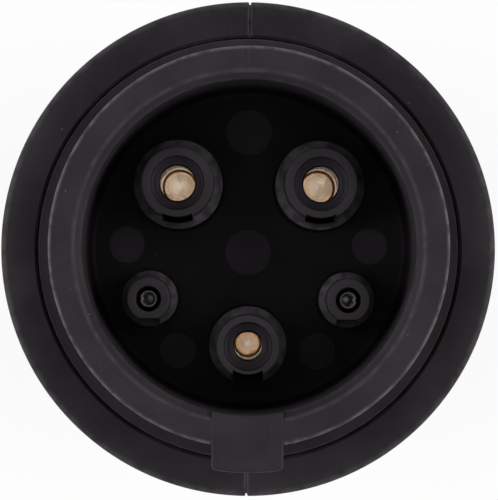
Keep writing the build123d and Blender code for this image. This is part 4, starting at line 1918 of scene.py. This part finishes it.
@dataclass
class InletHousing:
    """The rear inlet: mouth disc, shield-shaped recess and clamp flange."""

    inset: float = 0.6
    disc_radius: float = 23.9
    disc_front: float = 5.2
    groove: tuple[float, float, float] = (22.2, 1.9, 3.9)
    floor_back: float = 36.0
    floor_front: float = 40.0
    wall: float = 2.2
    mouth_chamfer: float = 0.6
    clamp_radius: float = 23.0
    clamp: tuple[float, float] = (34.0, 38.0)
    pockets: tuple[tuple[float, float, float], ...] = (
        (-8.6, 4.8, 9.2),
        (8.6, 4.8, 9.2),
        (-9.2, -4.6, 6.2),
        (9.2, -4.6, 6.2),
        (0.0, -8.2, 6.6),
    )
    pin_holes: tuple[tuple[float, float, float], ...] = (
        (-8.6, 4.8, 4.7),
        (8.6, 4.8, 4.7),
        (-9.2, -4.6, 2.2),
        (9.2, -4.6, 2.2),
        (0.0, -8.2, 3.7),
    )

    def shield(self, height: float, extra: float, count: int = 240) -> list[Vector]:
        """Give the shield outline at one height, widened by extra.

        Args:
            height: Height of the loop.
            extra: How far the outline grows.
            count: Number of points.

        Returns:
            The points of the hull round the pockets.
        """
        points = []
        for k in range(count):
            way = Vector((cos(2 * pi * (k + 0.5) / count), sin(2 * pi * (k + 0.5) / count)))
            x, y, radius = max(
                self.pockets, key=lambda p: p[0] * way.x + p[1] * way.y + p[2]
            )
            reach = radius + extra
            points.append(Vector((x + reach * way.x, y + reach * way.y, height)))
        return points

    def stack(self, name: str, rows: list[tuple[float, float, float]]) -> bpy.types.Mesh:
        """Stack shield outlines into a solid.

        Args:
            name: Name of the mesh.
            rows: Height, widening and edge wear with painted edge highlight of each outline.

        Returns:
            A closed mesh.
        """
        loops = [self.shield(height, extra) for height, extra, _ in rows]
        edges = [[edge] * len(loops[0]) for _, _, edge in rows]
        return skin(name, loops, edges, caps=True)

    def dress(self, finishes: Finishes) -> None:
        """Build the housing and put it in place.

        Args:
            finishes: The finishes to use.
        """
        groove = self.groove
        disc = turned(
            "disc",
            rounded(
                [
                    Corner(0, self.inset),
                    Corner(self.disc_radius, self.inset, 0.3),
                    Corner(self.disc_radius, groove[1]),
                    Corner(groove[0], groove[1]),
                    Corner(groove[0], groove[2]),
                    Corner(self.disc_radius, groove[2]),
                    Corner(self.disc_radius, self.disc_front),
                    Corner(0, self.disc_front),
                ]
            ),
            segments=176,
        )
        clamp = turned(
            "clamp",
            rounded(
                [
                    Corner(0, self.clamp[0]),
                    Corner(self.clamp_radius, self.clamp[0]),
                    Corner(self.clamp_radius, self.clamp[1]),
                    Corner(0, self.clamp[1]),
                ]
            ),
            segments=96,
        )
        tube = self.stack(
            "tube", [(self.inset + 0.5, self.wall, 0), (self.floor_front, self.wall, 0)]
        )
        bevel = self.mouth_chamfer
        floor_fillet = 0.5
        cavity = self.stack(
            "cavity",
            [
                *(
                    (
                        self.floor_back - floor_fillet * (1 - cos(pi / 2 * k / 4)),
                        -floor_fillet * (1 - sin(pi / 2 * k / 4)),
                        0.0,
                    )
                    for k in range(5)
                ),
                (self.inset + bevel + 0.25, 0.0, 0.0),
                (self.inset + bevel + 0.12, 0.01, 1.0),
                (self.inset + bevel - 0.05, 0.08, 1.0),
                (self.inset + 0.12, bevel - 0.1, 1.0),
                (self.inset + 0.03, bevel + 0.02, 1.0),
                (self.inset, bevel + 0.14, 1.0),
                (self.inset - 1.0, bevel + 0.4, 0.0),
            ],
        )
        holes = [
            turned(
                "pin_hole",
                rounded(
                    [
                        Corner(0, self.floor_back - 1),
                        Corner(radius + 0.15, self.floor_back - 1),
                        Corner(radius + 0.15, self.floor_back, 0.0),
                        Corner(radius, self.floor_back + 0.15),
                        Corner(radius, self.floor_front + 1),
                        Corner(0, self.floor_front + 1),
                    ]
                ),
                (x, y),
                72,
            )
            for x, y, radius in self.pin_holes
        ]
        solid = combined(disc, [tube, clamp], Join.FUSE)
        solid = combined(solid, [cavity], Join.CUT)
        solid = combined(solid, holes, Join.CUT)
        place("inlet_moulding", solid, finishes.inlet, ["inlet_housing"])


@dataclass(frozen=True)
class Pin:
    """Sizes of one turned pin of the rear inlet."""

    name: str
    spot: Spot
    start: float
    radius: float
    shoulder: float
    crimp: float
    core: float
    stem: float = 0.0


@dataclass
class InletPins:
    """The five pins of the rear inlet and the plastic tips of the three large ones."""

    floor_back: float = 36.0
    floor_front: float = 40.0
    plate_back: float = 42.0
    crimp_end: float = 57.0
    crimp_hole: float = 9.0
    root: float = 0.6
    edge: float = 0.5
    tip_length: float = 3.0
    stem_length: float = 3.0
    tip_rounding: float = 1.2

    def kinds(self) -> list[Pin]:
        """List the five pins.

        Returns:
            The pins, each with its place.
        """
        power = Pin("power_pin", (0, 0), 11.0, 4.0, 5.6, 3.3, 2.35, 1.8)
        signal = Pin("signal_pin", (0, 0), 13.0, 1.5, 3.0, 1.2, 0.65)
        return [
            *(
                replace(power, name=f"power_pin_{side.word}", spot=(side.value * 8.6, 4.8))
                for side in Side
            ),
            *(
                replace(signal, name=f"signal_pin_{side.word}", spot=(side.value * 9.2, -4.6))
                for side in Side
            ),
            Pin("ground_pin", (0, -8.2), 10.0, 3.0, 4.6, 2.8, 1.95, 1.4),
        ]

    def pin(self, kind: Pin) -> bpy.types.Mesh:
        """Turn a pin, bored for its tip where it has one.

        Args:
            kind: Its sizes.

        Returns:
            A closed mesh.
        """
        if kind.stem:
            nose = [
                Corner(0, kind.start + self.stem_length + 0.3),
                Corner(kind.stem + 0.1, kind.start + self.stem_length + 0.3),
                Corner(kind.stem + 0.1, kind.start),
            ]
        else:
            nose = [Corner(0, kind.start)]
        return turned(
            kind.name,
            rounded(
                [
                    *nose,
                    Corner(kind.radius - self.edge, kind.start, 0.15),
                    Corner(kind.radius, kind.start + self.edge, 0.4),
                    Corner(kind.radius, self.floor_back - 0.02),
                    Corner(kind.radius + self.root, self.floor_back - 0.02, 0.1),
                    Corner(kind.radius + self.root, self.floor_front),
                    Corner(kind.shoulder, self.floor_front, 0.1),
                    Corner(kind.shoulder, self.plate_back, 0.1),
                    Corner(kind.crimp, self.plate_back),
                    Corner(kind.crimp, self.crimp_end, 0.15),
                    Corner(kind.core, self.crimp_end),
                    Corner(kind.core, self.crimp_end - self.crimp_hole),
                    Corner(0, self.crimp_end - self.crimp_hole),
                ],
                steps=3,
                rest=0.06,
            ),
            kind.spot,
            segments=80,
        )

    def tip(self, kind: Pin) -> bpy.types.Mesh:
        """Turn the plastic tip of a pin.

        Args:
            kind: Sizes of the pin.

        Returns:
            A closed mesh.
        """
        front = kind.start - self.tip_length
        radius = kind.radius - self.edge
        return turned(
            "tip",
            rounded(
                [
                    Corner(0, front),
                    Corner(radius, front, self.tip_rounding),
                    Corner(radius, kind.start, 0.12),
                    Corner(kind.stem, kind.start),
                    Corner(kind.stem, kind.start + self.stem_length, 0.2),
                    Corner(0, kind.start + self.stem_length),
                ],
                steps=8,
            ),
            kind.spot,
            segments=80,
        )

    def dress(self, finishes: Finishes) -> None:
        """Build the pins and tips and put them in place.

        Args:
            finishes: The finishes to use.
        """
        for kind in self.kinds():
            place(
                f"turned_{kind.name}", self.pin(kind), finishes.pin, [kind.name]
            )
            if kind.stem:
                node = kind.name.replace("pin", "tip")
                place(f"moulded_{node}", self.tip(kind), finishes.tip, [node])


@dataclass
class ShellScrews:
    """The four pan-head screws that hold the half shells together."""

    head_radius: float = 2.75
    head_height: float = 1.9
    shank_radius: float = 1.45
    shank_length: float = 17.0
    seat: float = 8.0
    pitch_y: float = 37.6
    pitch_z: float = 29.1
    middle_z: float = 66.55

    def screw(self) -> bpy.types.Mesh:
        """Make one screw along Z, its seat at the origin, with a tapered cross recess.

        Returns:
            A closed mesh.
        """
        solid = turned(
            "screw",
            rounded(
                [
                    Corner(0, -self.shank_length),
                    Corner(0.4 * self.shank_radius, -self.shank_length),
                    Corner(self.shank_radius, -self.shank_length + self.shank_radius),
                    Corner(self.shank_radius, 0),
                    Corner(self.head_radius, 0, 0.15),
                    Corner(self.head_radius, self.head_height, 1.3),
                    Corner(0, self.head_height),
                ],
                steps=8,
            ),
            segments=48,
        )
        wings = []
        for turn in (0, pi / 2):
            loops = []
            for height, reach, width in ((0.75, 0.55, 0.24), (1.9, 1.5, 0.36), (2.4, 1.9, 0.4)):
                loops.append(
                    [
                        Vector((sx * reach, sy * width, height))
                        for sx, sy in ((-1, -1), (1, -1), (1, 1), (-1, 1))
                    ]
                )
            wing = skin("wing", loops, caps=True)
            wings.append(laid(wing, Matrix.Rotation(turn + 0.5, 3, "Z"), Vector((0, 0, 0))))
        return combined(solid, wings, Join.CUT)

    def tree(self) -> bpy.types.NodeTree:
        """Build the tree that sets a screw at the four corners of a pattern.

        Returns:
            The group's tree.
        """
        group = bpy.data.node_groups.new("screw_pattern", "GeometryNodeTree")
        tree = Tree(group)
        group.interface.new_socket("Geometry", in_out="OUTPUT", socket_type="NodeSocketGeometry")
        for name, kind in (
            ("Screw", "NodeSocketGeometry"),
            ("Pitch across", "NodeSocketFloat"),
            ("Pitch along", "NodeSocketFloat"),
            ("Seat", "NodeSocketFloat"),
            ("Middle", "NodeSocketFloat"),
            ("Seed", "NodeSocketInt"),
            ("Metal", "NodeSocketMaterial"),
        ):
            group.interface.new_socket(name, in_out="INPUT", socket_type=kind)
        given = tree.add("NodeGroupInput").outputs
        grid = tree.add("GeometryNodeMeshGrid", {0: given[1], 1: given[2], 2: 2, 3: 2}).outputs[0]
        upright = tree.add(
            "GeometryNodeTransform",
            {"Geometry": grid, "Rotation": (pi / 2, 0.0, pi / 2)},
        ).outputs[0]
        offset = tree.add("ShaderNodeCombineXYZ", {0: given[3], 2: given[4]}).outputs[0]
        set_off = tree.add(
            "GeometryNodeTransform", {"Geometry": upright, "Translation": offset}
        ).outputs[0]
        spin = tree.add(
            "FunctionNodeRandomValue",
            {2: 0.0, 3: 1.6, "ID": tree.add("GeometryNodeInputIndex").outputs[0], "Seed": given[5]},
        ).outputs[1]
        lay = tree.add("FunctionNodeAxisAngleToRotation", {"Axis": (0, 1, 0), "Angle": pi / 2})
        roll = tree.add("FunctionNodeAxisAngleToRotation", {"Axis": (0, 0, 1), "Angle": spin})
        turn = tree.add(
            "FunctionNodeRotateRotation",
            {"Rotation": lay.outputs[0], "Rotate By": roll.outputs[0]},
            rotation_space="LOCAL",
        ).outputs[0]
        screws = tree.add(
            "GeometryNodeInstanceOnPoints",
            {"Points": set_off, "Instance": given[0], "Rotation": turn},
        ).outputs[0]
        real = tree.add("GeometryNodeRealizeInstances", {0: screws}).outputs[0]
        coated = tree.add(
            "GeometryNodeSetMaterial", {"Geometry": real, "Material": given[6]}
        ).outputs[0]
        tree.add("NodeGroupOutput", {0: coated})
        return group

    def dress(self, finishes: Finishes) -> None:
        """Build the screws and put them in place.

        Args:
            finishes: The finishes to use.
        """
        owner = bpy.data.objects.new("screws", self.screw())
        bpy.context.scene.collection.objects.link(owner)
        pattern = owner.modifiers.new("pattern", "NODES")
        pattern.node_group = self.tree()
        sizes = {
            "Pitch across": self.pitch_y * MM,
            "Pitch along": self.pitch_z * MM,
            "Seat": self.seat * MM,
            "Middle": self.middle_z * MM,
            "Seed": 4,
            "Metal": finishes.steel,
        }
        for item in pattern.node_group.interface.items_tree:
            if item.in_out == "INPUT" and item.name in sizes:
                pattern[item.identifier] = sizes[item.name]
        mesh = evaluated(owner)
        source = owner.data
        bpy.data.objects.remove(owner)
        bpy.data.meshes.remove(source)
        place("pan_head_screws", mesh, finishes.steel, ["shell_screws"])


@dataclass
class InnerPieces:
    """Pieces inside the body that keep their own solids and get a finish."""

    def dress(self, finishes: Finishes, nodes: dict[str, bpy.types.Object]) -> None:
        """Give each inner piece its material.

        Args:
            finishes: The finishes of the adapter.
            nodes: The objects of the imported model.
        """
        table = {
            "front_retainer": finishes.retainer,
            "rear_retainer": finishes.retainer,
            "front_retainer_screws": finishes.steel,
            "rear_retainer_screws": finishes.steel,
            "front_seal": finishes.rubber,
            "rear_seal": finishes.rubber,
            "power_wire_left": finishes.black_wire,
            "power_wire_right": finishes.black_wire,
            "ground_wire": finishes.green_wire,
            "signal_wire_left": finishes.blue_wire,
            "signal_wire_right": finishes.blue_wire,
        }
        for name, finish in table.items():
            for slot in nodes[name].material_slots:
                slot.material = finish
            LOG.info("%s keeps its solid, finished in %s", name, finish.name)


# Studio


@dataclass
class Studio:
    """White floor, plain soft lamps and the camera over the plug face."""

    eye: Vector = field(default_factory=lambda: Vector((-1.2, -3.2, 476.0)))
    aim: Vector = field(default_factory=lambda: Vector((0.0, -0.36, 126.0)))
    lens: float = 231.8
    roll: float = 0.45
    sky: float = 0.5
    lamp_power: float = 3.0

    def backdrop(self, tree: Tree, shaded: bpy.types.NodeSocket, keep: float) -> None:
        """Show plain white to the camera, gloss and glass, and shading to other rays.

        Args:
            tree: Tree of the floor's material or the world.
            shaded: Shader for the other rays.
            keep: Share of white for the camera, the rest keeps the shadow.
        """
        path = tree.add("ShaderNodeLightPath").outputs
        seen = tree.math("MAXIMUM", path["Is Camera Ray"], path["Is Glossy Ray"])
        seen = tree.math("MAXIMUM", seen, path["Is Transmission Ray"])
        is_world = isinstance(shaded.node, bpy.types.ShaderNodeBackground)
        kind = "ShaderNodeBackground" if is_world else "ShaderNodeEmission"
        white = tree.add(kind, {"Color": (1, 1, 1, 1), "Strength": 1.0}).outputs[0]
        mixed = tree.add(
            "ShaderNodeMixShader", {0: tree.math("MULTIPLY", seen, keep), 1: shaded, 2: white}
        )
        output = "ShaderNodeOutputWorld" if is_world else "ShaderNodeOutputMaterial"
        tree.add(output, {"Surface": mixed.outputs[0]})

    def floor(self) -> None:
        """Lay the floor that the rear rim stands on."""
        form = bmesh.new()
        bmesh.ops.create_grid(form, x_segments=2, y_segments=2, size=4.0)
        mesh = bpy.data.meshes.new("floor")
        form.to_mesh(mesh)
        form.free()
        mesh.transform(Matrix.Translation((0, 0, -0.0001)))
        material = bpy.data.materials.new("floor_white")
        material.use_nodes = True
        tree = Tree(material.node_tree)
        paint = tree.add(
            "ShaderNodeBsdfDiffuse", {"Color": (0.9, 0.9, 0.9, 1)}
        ).outputs[0]
        self.backdrop(tree, paint, 0.85)
        mesh.materials.append(material)
        floor = bpy.data.objects.new("floor", mesh)
        bpy.context.scene.collection.objects.link(floor)

    def light(self) -> None:
        """Set the sky and the soft lamps at both sides."""
        world = bpy.data.worlds.new("studio")
        world.use_nodes = True
        bpy.context.scene.world = world
        tree = Tree(world.node_tree)
        dim = tree.add(
            "ShaderNodeBackground", {"Color": (1, 1, 1, 1), "Strength": self.sky}
        ).outputs[0]
        self.backdrop(tree, dim, 1.0)
        for side in Side:
            lamp = bpy.data.lights.new(f"lamp_{side.word}", "AREA")
            lamp.shape = "RECTANGLE"
            lamp.size = 0.5
            lamp.size_y = 0.5
            lamp.energy = self.lamp_power
            holder = bpy.data.objects.new(f"lamp_{side.word}", lamp)
            spot = Vector((side.value * 0.55, 0.02, 0.42))
            holder.location = spot
            holder.rotation_euler = (Vector((0, 0, 0.1)) - spot).to_track_quat("-Z", "Y").to_euler()
            bpy.context.scene.collection.objects.link(holder)

    def camera(self) -> None:
        """Set the camera straight over the plug face."""
        data = bpy.data.cameras.new("camera")
        data.lens = self.lens
        data.sensor_width = 36.0
        data.clip_start = 0.01
        data.clip_end = 20.0
        look = (self.aim - self.eye).normalized()
        right = look.cross(Vector((0, 1, 0))).normalized()
        up = right.cross(look)
        turn = Matrix((right, up, -look)).transposed()
        turn = turn @ Matrix.Rotation(radians(self.roll), 3, "Z")
        camera = bpy.data.objects.new("camera", data)
        camera.matrix_world = Matrix.Translation(self.eye * MM) @ turn.to_4x4()
        bpy.context.scene.collection.objects.link(camera)
        bpy.context.scene.camera = camera

    def build(self) -> None:
        """Set up the whole studio."""
        bpy.context.scene.view_settings.view_transform = "Standard"
        self.floor()
        self.light()
        self.camera()


def main() -> None:
    """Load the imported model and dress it."""
    logging.basicConfig(level=logging.INFO, format="%(message)s")
    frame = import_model()
    finishes = Finishes()
    HalfShells().dress(finishes)
    PlugNose().dress(finishes)
    Sockets().dress(finishes)
    InletHousing().dress(finishes)
    InletPins().dress(finishes)
    ShellScrews().dress(finishes)
    InnerPieces().dress(finishes, frame["nodes"])
    Studio().build()


if __name__ == "__main__":
    main()
